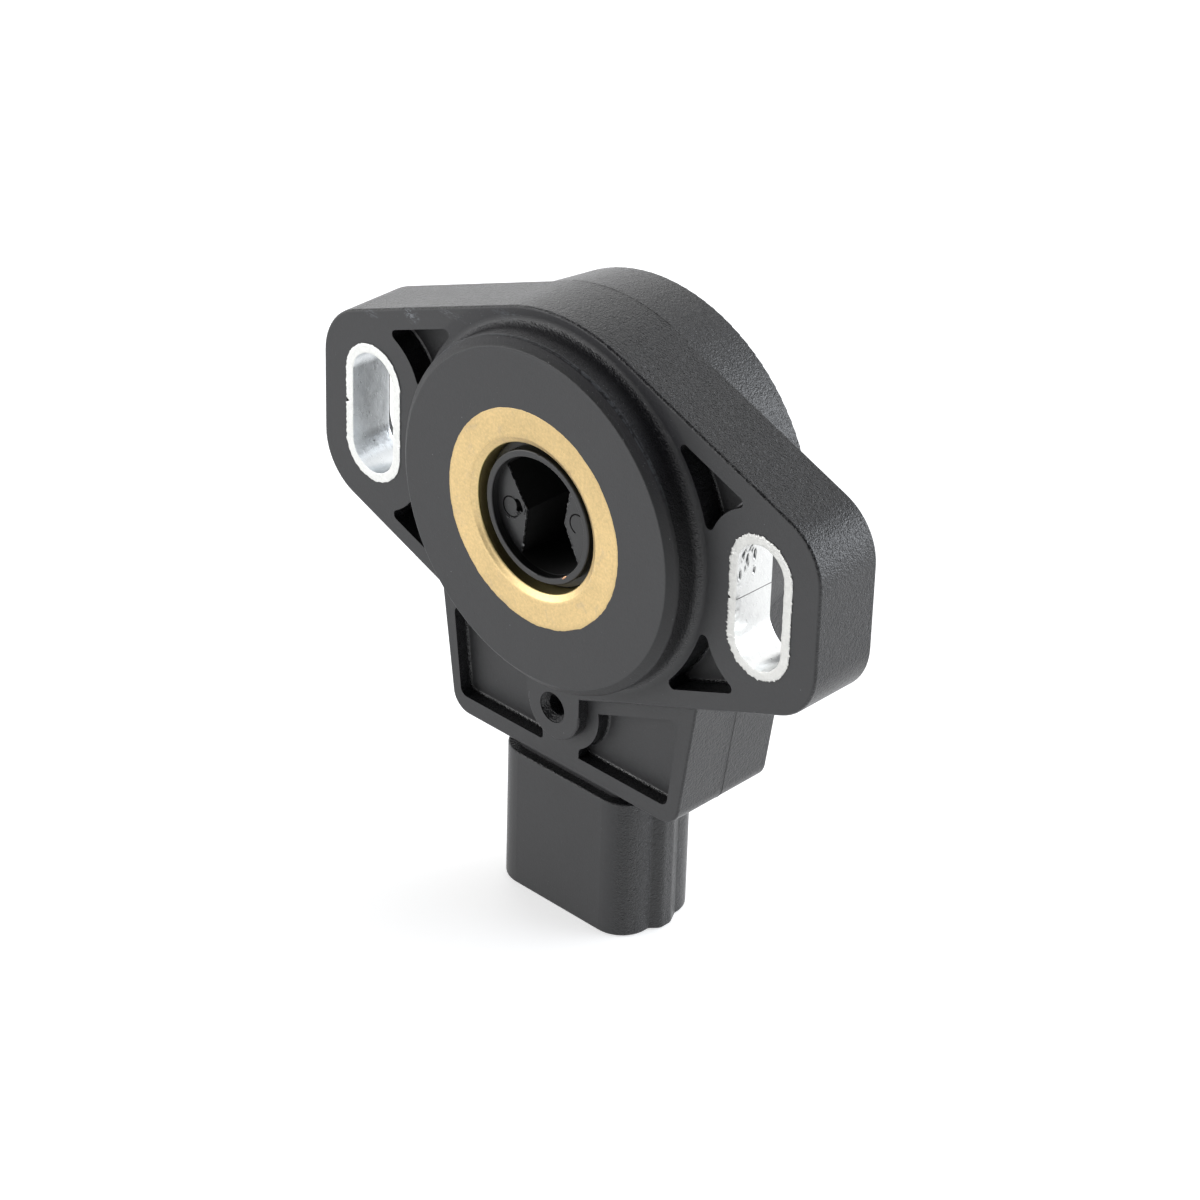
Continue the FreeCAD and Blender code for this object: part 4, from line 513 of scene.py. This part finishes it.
def sleeve(name, side, seam_z, notch, coarse, material, node):
    cx = side * SLOT_X
    r_in, seed = R_OUT - WALL, 11.0 if side < 0 else 37.0
    mid = (R_OUT + r_in) / 2
    run_up, arc_len = HALF_RUN - seam_z, math.pi * mid
    total = 4 * HALF_RUN + 2 * arc_len
    gap = 0.012 if coarse else 0.0005
    n = 700 if coarse else 480
    # stations along the strip, denser next to the butt seam
    stations = []
    for i in range(n + 1):
        u = i / n
        e = 0.5 - 0.5 * math.cos(math.pi * u)
        stations.append(gap + (total - 2 * gap) * (0.72 * u + 0.28 * e))

    def place(s, r):
        """Point at distance s along the strip's middle line, at radius r."""
        if s < run_up:
            return cx - r, seam_z + s
        s -= run_up
        if s < arc_len:
            a = math.pi - s / mid
            return cx + r * math.cos(a), HALF_RUN + r * math.sin(a)
        s -= arc_len
        if s < 2 * HALF_RUN:
            return cx + r, HALF_RUN - s
        s -= 2 * HALF_RUN
        if s < arc_len:
            a = -s / mid
            return cx + r * math.cos(a), -HALF_RUN + r * math.sin(a)
        s -= arc_len
        return cx - r, -HALF_RUN + s

    tears = [(0.33, 2.13, 0.13, 0.44), (0.64, 4.27, 0.15, 0.56), (1.26, 3.33, 0.13, 0.64), (1.39, 4.66, 0.13, 0.42),
             (2.24, 1.89, 0.12, 0.32), (2.24, 3.63, 0.14, 0.54)]
    inner = 56 if coarse else 34
    loop = []                                    # (kind, fraction) round the section
    loop += [("inner", k / inner) for k in range(inner + 1)]
    loop += [("front", 1 - k / 12) for k in range(1, 13)]
    loop += [("outer", 1 - k / 4) for k in range(0, 5)]
    loop += [("back", 1 - k / 6) for k in range(1, 6)]
    pts, m = [], len(loop)
    for s in stations:
        jag_o = rough_wave(s * (4.0 if coarse else 2.7), seed) * (0.20 if coarse else 0.095)
        jag_i = rough_wave(s * 1.9, seed + 5) * (0.045 if coarse else 0.020)
        lift = rough_wave(s * 1.2, seed + 9) * (0.030 if coarse else 0.012)
        dz = min(s, total - s)
        cut = notch * max(0.0, 1.0 - dz / (notch * 0.62)) ** 0.75
        lip = jag_o - cut
        for kind, q in loop:
            if kind == "inner":
                y = BACK_Y - 0.05 + (FRONT_Y - 0.015 - BACK_Y + 0.05) * q
                r = r_in + 0.010 * rough_wave(s * 0.5, y * 0.8, seed)
                r += 0.03 * max(0.0, 1 - (BACK_Y - y) / 0.18) ** 2 + jag_i * max(0.0, 1 - (y - FRONT_Y) / 0.5)
                if coarse and s < run_up + 3.5:
                    zz = place(s, r)[1]
                    for ty, tz, wy, wz in tears:
                        d = ((y + 0.16 * wave(zz * 1.6, seed) - ty) / wy) ** 2 + ((zz - tz) / wz) ** 2
                        if d < 6:
                            r += 0.13 * math.exp(-d) - 0.04 * math.exp(-(d - 2.2) ** 2)
            elif kind == "back":
                y = BACK_Y
                r = r_in + 0.06 + (WALL - 0.10) * q
            elif kind == "outer":
                y = BACK_Y - 0.04 + (FRONT_Y + 0.05 - BACK_Y + 0.04) * q
                r = R_OUT - 0.004 - cut * max(0.0, 1 - (y - FRONT_Y) / 4.4)
            else:
                edge = abs(q - 0.5) * 2
                y = FRONT_Y - 0.045 + lift * (1 - edge * 0.4) + 0.03 * edge ** 6 + 0.012 * rough_wave(s * 3.0, q * 5.0, seed)
                r = R_OUT + lip - (WALL + lip - jag_i) * q
                r += (0.0 if q > 0.5 else 0.012 * rough_wave(s * 4.0, seed + 2))
            x, z = place(s, r)
            z -= 0.12 * (y + 1.0) / 9.6 * max(0.0, 1 - dz / 2.4)
            pts.append((x, y, z))
    faces = []
    for i in range(n):
        for k in range(m):
            a, b = i * m + k, i * m + (k + 1) % m
            faces.append((a, a + m, b + m, b))
    faces.append(tuple(range(m)))
    faces.append(tuple(n * m + k for k in reversed(range(m))))
    ob = make(name, pts, faces, material, "sensor_body")
    mark_sharp(ob, 60)
    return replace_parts(ob, node)


# --------------------------------------------------------------- turned bush
def bush(material):
    """Bearing bush; its front edge is ragged where the face was turned flush with the plastic."""
    n = 900
    proud = -3.582
    rows = []
    for i in range(n):
        a = 2 * math.pi * i / n
        c, s = math.cos(a), math.sin(a)
        jag = 0.075 * rough_wave(c * 9, s * 9, 3.0, 5) + 0.04 * max(0.0, wave(c * 26, s * 26, 8.0))
        low = 1.0 if s < -0.2 else 0.6
        r_edge = 11.03 + jag * low
        nick = math.exp(-((a - math.radians(55.9)) / math.radians(1.3)) ** 2)
        r_mouth = 8.15 + 0.012 * rough_wave(c * 6, s * 6, 5.0) + 0.16 * nick
        y_mouth = proud + 0.10 * nick
        prof = [(r_edge, -3.566), (r_edge - 0.012, proud + 0.006), (r_edge - 0.05, proud), (10.2, proud), (9.6, proud), (9.0, proud),
                (8.5, proud), (r_mouth + 0.05, y_mouth), (r_mouth, y_mouth + 0.03), (7.95, -3.42), (7.75, -3.30), (7.60, -3.23),
                (7.55, -3.17), (7.55, -2.4), (7.55, -1.2), (7.55, 0.0), (7.55, 1.2), (7.55, 2.2), (7.85, 2.5), (9.4, 2.5), (11.0, 2.5),
                (11.0, 0.2), (10.3, 0.2), (10.3, -1.0), (11.0, -1.0), (11.0, -3.566)]
        rows.append([(r * c, y, r * s) for r, y in prof])
    m = len(rows[0])
    pts = [q for row in rows for q in row]
    faces = []
    for i in range(n):
        j = (i + 1) % n
        for k in range(m):
            l = (k + 1) % m
            faces.append((i * m + k, i * m + l, j * m + l, j * m + k))
    ob = make("bush_turned", pts, faces, material, "sensor_body")
    mark_sharp(ob, 32)
    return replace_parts(ob, "shaft_bush")


def mark_sharp(ob, degrees):
    """Edges steeper than this stay crisp."""
    import bmesh
    bm = bmesh.new()
    bm.from_mesh(ob.data)
    bmesh.ops.recalc_face_normals(bm, faces=bm.faces)
    lim = math.radians(degrees)
    for e in bm.edges:
        e.smooth = not (len(e.link_faces) == 2 and e.calc_face_angle(0.0) > lim)
    bm.to_mesh(ob.data)
    bm.free()
    ob.data.update()


# ------------------------------------------------------ mould flash on housing
def ridge(name, line, width, height, material, seed, body="sensor_body", axis=(0, 1, 0)):
    """Low raised thread along a line of (point, outward normal); its width runs along axis."""
    ax = Vector(axis)
    pts, faces = [], []
    for i, (p, nrm) in enumerate(line):
        p, nrm = Vector(p), Vector(nrm).normalized()
        w = width * (1 + 0.35 * rough_wave(i * 0.11, seed))
        hgt = height * (0.75 + 0.55 * rough_wave(i * 0.07, seed + 4)) + 0.003
        fade = min(1.0, i / 4, (len(line) - 1 - i) / 4)
        hgt = max(0.001, hgt * fade)
        off = 0.02 * rough_wave(i * 0.05, seed + 8)
        for du, dh in ((-0.5, -0.02), (-0.3, hgt * 0.65), (0.0, hgt), (0.3, hgt * 0.55), (0.5, -0.02)):
            q = p + ax * (du * w + off) + nrm * dh
            pts.append(tuple(q))
    for i in range(len(line) - 1):
        for k in range(4):
            a = i * 5 + k
            faces.append((a, a + 5, a + 6, a + 1))
    return make(name, pts, faces, material, body)


def block_side(side):
    """The block's outline at the parting plane, from under the flange to the neck."""
    line, y = [], PARTING_Y
    x0, z0, x1, z1, r = 18.42, -5.7, 15.02, -29.5, 2.3
    d = Vector((x1 - x0, 0, z1 - z0)).normalized()
    out = Vector((-d.z, 0, d.x)) * -1
    if out.x < 0:
        out = -out
    half = (math.pi - math.acos(max(-1, min(1, (-d).dot(Vector((-1, 0, 0))))))) / 2
    cut = r * math.tan(half)
    end = Vector((x1, 0, z1)) - d * cut
    start = Vector((x0, 0, z0)) + d * 11.2
    n = 70
    for i in range(n + 1):
        q = start.lerp(end, i / n)
        line.append(((side * q.x, y, q.z), (side * out.x, 0, out.z)))
    centre = end - out * r
    a0, a1 = math.atan2(out.z, out.x), -math.pi / 2
    for i in range(1, 15):
        a = a0 + (a1 - a0) * i / 14
        line.append(((side * (centre.x + r * math.cos(a)), y, centre.z + r * math.sin(a)), (side * math.cos(a), 0, math.sin(a))))
    n = 30
    for i in range(1, n + 1):
        line.append(((side * (centre.x + (8.4 - centre.x) * i / n), y, z1), (0, 0, -1)))
    return line


def can_arc():
    """Over the top of the can, between the places where the flange's edges leave it."""
    a0, a1, n = math.radians(68.8 + 2.0), math.radians(111.2 - 2.0), 70
    line = []
    for i in range(n + 1):
        a = a0 + (a1 - a0) * i / n
        line.append(((19.745 * math.cos(a), 7.6, 19.745 * math.sin(a)), (math.cos(a), 0, math.sin(a))))
    return line


def connector_line(side):
    line = []
    x = 9.03 * side
    for i in range(61):
        z = -30.9 - 14.4 * i / 60
        line.append(((x, 8.74, z), (side, 0, 0)))
    return line


# -------------------------------------------------------- chipped drive webs
BOW = [(-4.914, 3.434), (-2.22, -0.46), (-2.794, -5.290), (4.750, -3.634), (2.74, 0.33), (3.674, 4.718)]


def web_edge(name, corners, inward, seed, material):
    """Torn flash along one side of the bow-tie opening, hanging into it."""
    line = []
    for (xa, za), (xb, zb) in zip(corners, corners[1:]):
        n = max(24, int(math.hypot(xb - xa, zb - za) / 0.035))
        for i in range(n):
            k = i / n
            line.append((xa + (xb - xa) * k, za + (zb - za) * k))
    line.append(corners[-1])
    pts, faces = [], []
    top = -2.05
    for i, (x, z) in enumerate(line):
        s = i * 0.035
        reach = max(0.004, 0.05 + 0.17 * rough_wave(s * 3.2, seed) + 0.30 * max(0.0, wave(s * 1.1, seed + 3)) ** 2)
        bead = 0.022 + 0.050 * max(0.0, rough_wave(s * 2.6, seed + 6))
        fade = min(1.0, i / 6, (len(line) - 1 - i) / 6)
        reach *= fade
        bead *= fade
        back = 0.10 + 0.05 * rough_wave(s * 1.3, seed + 9)
        droop = 0.10 + 0.08 * rough_wave(s * 1.1, seed + 12)
        for dx, dy in ((-back, 0.004), (-back * 0.45, -bead * 0.8), (0.02, -bead), (reach * 0.75, -bead * 0.7),
                       (reach, -bead * 0.2), (reach * 0.6, 0.06 + droop * 0.5), (0.0, 0.12 + droop), (-0.03, 0.05)):
            pts.append((x + inward * dx, top + dy, z))
    m = 8
    for i in range(len(line) - 1):
        for k in range(m):
            a, b = i * m + k, i * m + (k + 1) % m
            faces.append((a, b, b + m, a + m) if inward > 0 else (a, a + m, b + m, b))
    faces.append(tuple(reversed(range(m))))
    faces.append(tuple((len(line) - 1) * m + k for k in range(m)))
    ob = make(name, pts, faces, material, "rotor_body")
    mark_sharp(ob, 50)
    return ob


def lump(name, x, z, rx, rz, high, seed, material, top=-2.05, n=26, turn=0.0):
    """Small melted bead lying on a web."""
    pts, faces = [], []
    for j in range(9):
        lat = j / 8
        for i in range(n):
            a = 2 * math.pi * i / n
            g = 1 + 0.35 * rough_wave(math.cos(a) * 1.6, math.sin(a) * 1.6, seed)
            rr = math.sin(math.pi / 2 * (1 - lat)) if j < 8 else 0.0
            up = high * math.sin(math.pi / 2 * lat) * (1 + 0.25 * rough_wave(math.cos(a) * 2 + lat, math.sin(a) * 2, seed + 4))
            u, v = rx * g * rr * math.cos(a), rz * g * rr * math.sin(a)
            pts.append((x + u * math.cos(turn) - v * math.sin(turn), top + 0.01 - up, z + u * math.sin(turn) + v * math.cos(turn)))
    for j in range(8):
        for i in range(n):
            k = (i + 1) % n
            faces.append((j * n + i, (j + 1) * n + i, (j + 1) * n + k, j * n + k))
    faces.append(tuple(range(n)))
    return make(name, pts, faces, material, "rotor_body")


# ------------------------------------------------------------ rear of the can
def weld_bead(material):
    """Thin squeezed-out bead where the cover is welded into the can."""
    n, pts, faces = 620, [], []
    for i in range(n):
        a = 2 * math.pi * i / n
        c, s = math.cos(a), math.sin(a)
        w = 0.16 * (1 + 0.5 * rough_wave(c * 8, s * 8, 2.0))
        hgt = 0.07 * (1 + 0.7 * rough_wave(c * 11, s * 11, 6.0))
        for k in range(7):
            t = k / 6
            pts.append(((17.95 + (t - 0.5) * 2 * w) * c, 13.69 + hgt * math.sin(math.pi * t) - (0.02 if k in (0, 6) else 0),
                        (17.95 + (t - 0.5) * 2 * w) * s))
    for i in range(n):
        j = (i + 1) % n
        for k in range(6):
            faces.append((i * 7 + k, j * 7 + k, j * 7 + k + 1, i * 7 + k + 1))
    return make("cover_weld_bead", pts, faces, material, "sensor_body")


def gate_stub(material):
    """Broken gate in the middle of the cover's dish."""
    n, rings = 48, [(1.9, 13.10), (1.85, 13.135), (1.05, 13.15), (0.92, 13.20), (0.86, 13.34), (0.70, 13.38), (0.35, 13.36)]
    pts, faces = [], []
    for k, (r, y) in enumerate(rings):
        for i in range(n):
            a = 2 * math.pi * i / n
            g = 1 + (0.10 * rough_wave(math.cos(a) * 3, math.sin(a) * 3, 4.0) if k > 3 else 0)
            up = 0.035 * rough_wave(math.cos(a) * 4, math.sin(a) * 4, 9.0) if k > 3 else 0
            pts.append((r * g * math.cos(a), y + up, r * g * math.sin(a)))
    for k in range(len(rings) - 1):
        for i in range(n):
            j = (i + 1) % n
            faces.append((k * n + i, k * n + j, (k + 1) * n + j, (k + 1) * n + i))
    faces.append(tuple((len(rings) - 1) * n + i for i in range(n)))
    return make("cover_gate_stub", pts, faces, material, "sensor_body")


# --------------------------------------------------------------- put together
plastic = housing_plastic()
cover_mat = cover_plastic()
rotor_mat = rotor_plastic()
torn_mat = rotor_plastic("rotor_plastic_torn", dusty=0.8)
brass = bush_brass()
alu_left = sleeve_metal("sleeve_metal_smooth", -SLOT_X, 0)
alu_right = sleeve_metal("sleeve_metal_torn", SLOT_X, 1)
rubber = seal_rubber()
FINISH = {
    "housing": plastic, "rear_cover": cover_mat, "rotor": rotor_mat, "shaft_bush": brass,
    "sleeve_left": alu_left, "sleeve_right": alu_right, "rotor_seal": rubber, "cover_seal": rubber,
    "thrust_washer": washer_plastic(), "resistor_board": board_ceramic(), "solder_joints": solder_metal(),
    "return_spring": drawn_metal("spring_wire", (0.60, 0.60, 0.61), 0.28, 0.005, "y", (0.36, 0.31, 0.24)),
    "preload_washer": drawn_metal("spring_strip", (0.66, 0.66, 0.67), 0.26, 0.004, "x"),
    "wiper": drawn_metal("contact_alloy", (0.86, 0.70, 0.44), 0.24, 0.004, "z", (0.60, 0.42, 0.22)),
}
tin = drawn_metal("terminal_tin", (0.77, 0.77, 0.75), 0.30, 0.006, "z", (0.55, 0.54, 0.50))
for n in ("terminal_supply", "terminal_signal", "terminal_ground"):
    FINISH[n] = tin
for n, o in NODES.items():
    if len(o.data.materials) == 0:
        o.data.materials.append(FINISH[n])
    for i in range(len(o.data.materials)):
        o.material_slots[i].link = "OBJECT"
        o.material_slots[i].material = FINISH[n]

sleeve("sleeve_left_rolled", -1, 0.13, 0.46, False, alu_left, "sleeve_left")
sleeve("sleeve_right_rolled", 1, -0.33, 0.36, True, alu_right, "sleeve_right")
bush(brass)
ridge("parting_flash_right", block_side(1), 0.10, 0.030, plastic, 3.0)
ridge("parting_flash_left", block_side(-1), 0.10, 0.030, plastic, 13.0)
ridge("parting_flash_can", can_arc(), 0.12, 0.016, plastic, 23.0)
ridge("parting_flash_plug_left", connector_line(-1), 0.08, 0.018, plastic, 43.0)
web_edge("web_flash_left", BOW[0:3], 1, 2.0, torn_mat)
web_edge("web_flash_right", [BOW[5], BOW[4], BOW[3]], -1, 17.0, torn_mat)
BEADS = [(-3.98, 0.22, 0.10, 0.13, 0.07), (-2.52, -0.18, 0.11, 0.20, 0.12), (-2.40, -0.62, 0.11, 0.22, 0.14), (-2.58, -1.02, 0.10, 0.16, 0.08),
         (-3.42, -1.36, 0.25, 0.13, 0.16), (-3.12, -1.18, 0.14, 0.09, 0.10), (-3.90, -2.02, 0.16, 0.10, 0.08), (-4.60, -2.16, 0.24, 0.15, 0.15),
         (-4.30, -2.04, 0.14, 0.10, 0.08)]
bright = rotor_plastic("rotor_plastic_chips", dusty=1.0)
for i, (bx, bz, rx, rz, high) in enumerate(BEADS):
    lump("web_bead_%d" % (i + 1), bx, bz, rx, rz, high, 1.0 + 3.7 * i, bright if i in (4, 5, 7) else torn_mat, n=18)
copper = drawn_metal("swarf_copper", (0.62, 0.36, 0.22), 0.34, 0.004, "x", (0.30, 0.17, 0.10))
lump("ring_swarf", 3.74, -4.84, 0.40, 0.10, 0.10, 21.0, copper, top=-2.95, n=18, turn=math.radians(46))
weld_bead(cover_mat)
gate_stub(cover_mat)

# ------------------------------------------------------------------ the floor
floor_z = CAD_BOX[0].z - 0.00002
side = 3.0
me = bpy.data.meshes.new("floor")
me.from_pydata([(-side, -side, floor_z), (side, -side, floor_z), (side, side, floor_z), (-side, side, floor_z)], [], [(0, 1, 2, 3)])
floor = bpy.data.objects.new("floor", me)
bpy.context.scene.collection.objects.link(floor)
t = Tree("floor_pale")
soft = t.noise(0.004, 2.0, 0.5)
t.nt.nodes.remove(t.b)
dif = t.nt.nodes.new("ShaderNodeBsdfDiffuse")
glow = t.nt.nodes.new("ShaderNodeEmission")
both = t.nt.nodes.new("ShaderNodeAddShader")
t.put(dif.inputs["Color"], t.scale_colour((0.86, 0.86, 0.86), t.add(1.0, t.centred(soft, 0.02))))
glow.inputs["Strength"].default_value = 0.61
t.nt.links.new(dif.outputs[0], both.inputs[0])
t.nt.links.new(glow.outputs[0], both.inputs[1])
t.nt.links.new(both.outputs[0], t.out.inputs[0])
me.materials.append(t.m)

# ----------------------------------------------------------------- the lights
# Soft light from a wide cove: each entry is a soft patch of sky given by its
# compass angle from +X, its height, its softness, its strength and its tint.
SKY = [
    (45, 5, 16.0, 6.10, (0.94, 0.98, 1.04)), (68, 5, 16.0, 4.06, (0.96, 0.99, 1.02)), (22, 5, 16.0, 0.46, (0.94, 0.98, 1.04)),
    (135, 5, 16.0, 0.56, (1.0, 1.0, 1.0)), (158, 5, 16.0, 1.55, (1.0, 1.0, 1.0)), (-158, 5, 16.0, 1.58, (1.0, 1.0, 1.0)),
    (-135, 5, 16.0, 4.23, (1.0, 1.0, 1.0)), (-113, 5, 16.0, 2.50, (1.0, 1.0, 1.0)), (39, 27, 16.0, 2.10, (0.94, 0.98, 1.04)),
    (64, 27, 16.0, 0.61, (0.97, 0.99, 1.02)), (141, 27, 16.0, 1.28, (1.0, 1.0, 1.0)), (-90, 27, 16.0, 0.21, (1.0, 1.0, 1.0)),
    (80, 49, 16.0, 0.96, (1.0, 1.0, 1.0)), (120, 49, 16.0, 1.32, (1.0, 1.0, 1.0)), (108, 71, 16.0, 0.16, (1.0, 1.0, 1.0)),
]
world = bpy.data.worlds.new("studio")
bpy.context.scene.world = world
world.use_nodes = True
wt = world.node_tree
wt.nodes.clear()
w_out = wt.nodes.new("ShaderNodeOutputWorld")
w_bg = wt.nodes.new("ShaderNodeBackground")
wt.links.new(w_bg.outputs[0], w_out.inputs[0])
w_tc = wt.nodes.new("ShaderNodeTexCoord")
w_dir = wt.nodes.new("ShaderNodeVectorMath")
w_dir.operation = "NORMALIZE"
wt.links.new(w_tc.outputs["Generated"], w_dir.inputs[0])


def w_math(op, a, b):
    n = wt.nodes.new("ShaderNodeMath")
    n.operation = op
    for i, v in enumerate((a, b)):
        if hasattr(v, "is_output"):
            wt.links.new(v, n.inputs[i])
        elif v is not None:
            n.inputs[i].default_value = v
    return n.outputs[0]


total = None
for az, el, k, strength, tint in SKY:
    a, e = math.radians(az), math.radians(el)
    dot = wt.nodes.new("ShaderNodeVectorMath")
    dot.operation = "DOT_PRODUCT"
    wt.links.new(w_dir.outputs[0], dot.inputs[0])
    dot.inputs[1].default_value = (math.cos(a) * math.cos(e), math.sin(a) * math.cos(e), math.sin(e))
    val = w_math("MULTIPLY", w_math("EXPONENT", w_math("MULTIPLY", w_math("SUBTRACT", dot.outputs["Value"], 1.0), k), None), strength)
    col = wt.nodes.new("ShaderNodeVectorMath")
    col.operation = "SCALE"
    col.inputs[0].default_value = tint
    wt.links.new(val, col.inputs["Scale"])
    if total is None:
        total = col.outputs[0]
    else:
        s = wt.nodes.new("ShaderNodeVectorMath")
        s.operation = "ADD"
        wt.links.new(total, s.inputs[0])
        wt.links.new(col.outputs[0], s.inputs[1])
        total = s.outputs[0]
# the cove itself is plain white where it shows
w_lp = wt.nodes.new("ShaderNodeLightPath")
w_mix = wt.nodes.new("ShaderNodeMix")
w_mix.data_type = "RGBA"
wt.links.new(w_lp.outputs["Is Camera Ray"], w_mix.inputs[0])
wt.links.new(total, w_mix.inputs[6])
w_mix.inputs[7].default_value = (1.0, 1.0, 1.0, 1.0)
wt.links.new(w_mix.outputs[2], w_bg.inputs["Color"])
w_bg.inputs["Strength"].default_value = 1.0

# ----------------------------------------------------------------- the camera
FOCAL_PX, AZ, EL, ROLL = 4185.098, math.radians(43.314), math.radians(30.792), math.radians(1.694)
back = Vector((math.sin(AZ) * math.cos(EL), -math.cos(AZ) * math.cos(EL), math.sin(EL)))
right = Vector((math.cos(AZ), math.sin(AZ), 0))
up = right.cross(-back)
c_right = right * math.cos(ROLL) + up * math.sin(ROLL)
c_up = -right * math.sin(ROLL) + up * math.cos(ROLL)
shift = Vector((-3.809, -8.674, 390.6)) * MM
where = -(c_right * shift.x - c_up * shift.y + (-back) * shift.z)
cam = bpy.data.cameras.new("camera")
cam_ob = bpy.data.objects.new("camera", cam)
bpy.context.scene.collection.objects.link(cam_ob)
m = Matrix((c_right, c_up, back)).transposed().to_4x4()
m.translation = where
cam_ob.matrix_world = m
cam.sensor_width = 36.0
cam.lens = FOCAL_PX / 1200 * 36.0
cam.clip_start, cam.clip_end = 0.01, 50.0
bpy.context.scene.camera = cam_ob
bpy.context.scene.view_settings.view_transform = "Standard"
bpy.context.scene.view_settings.look = "None"

bpy.context.view_layer.update()
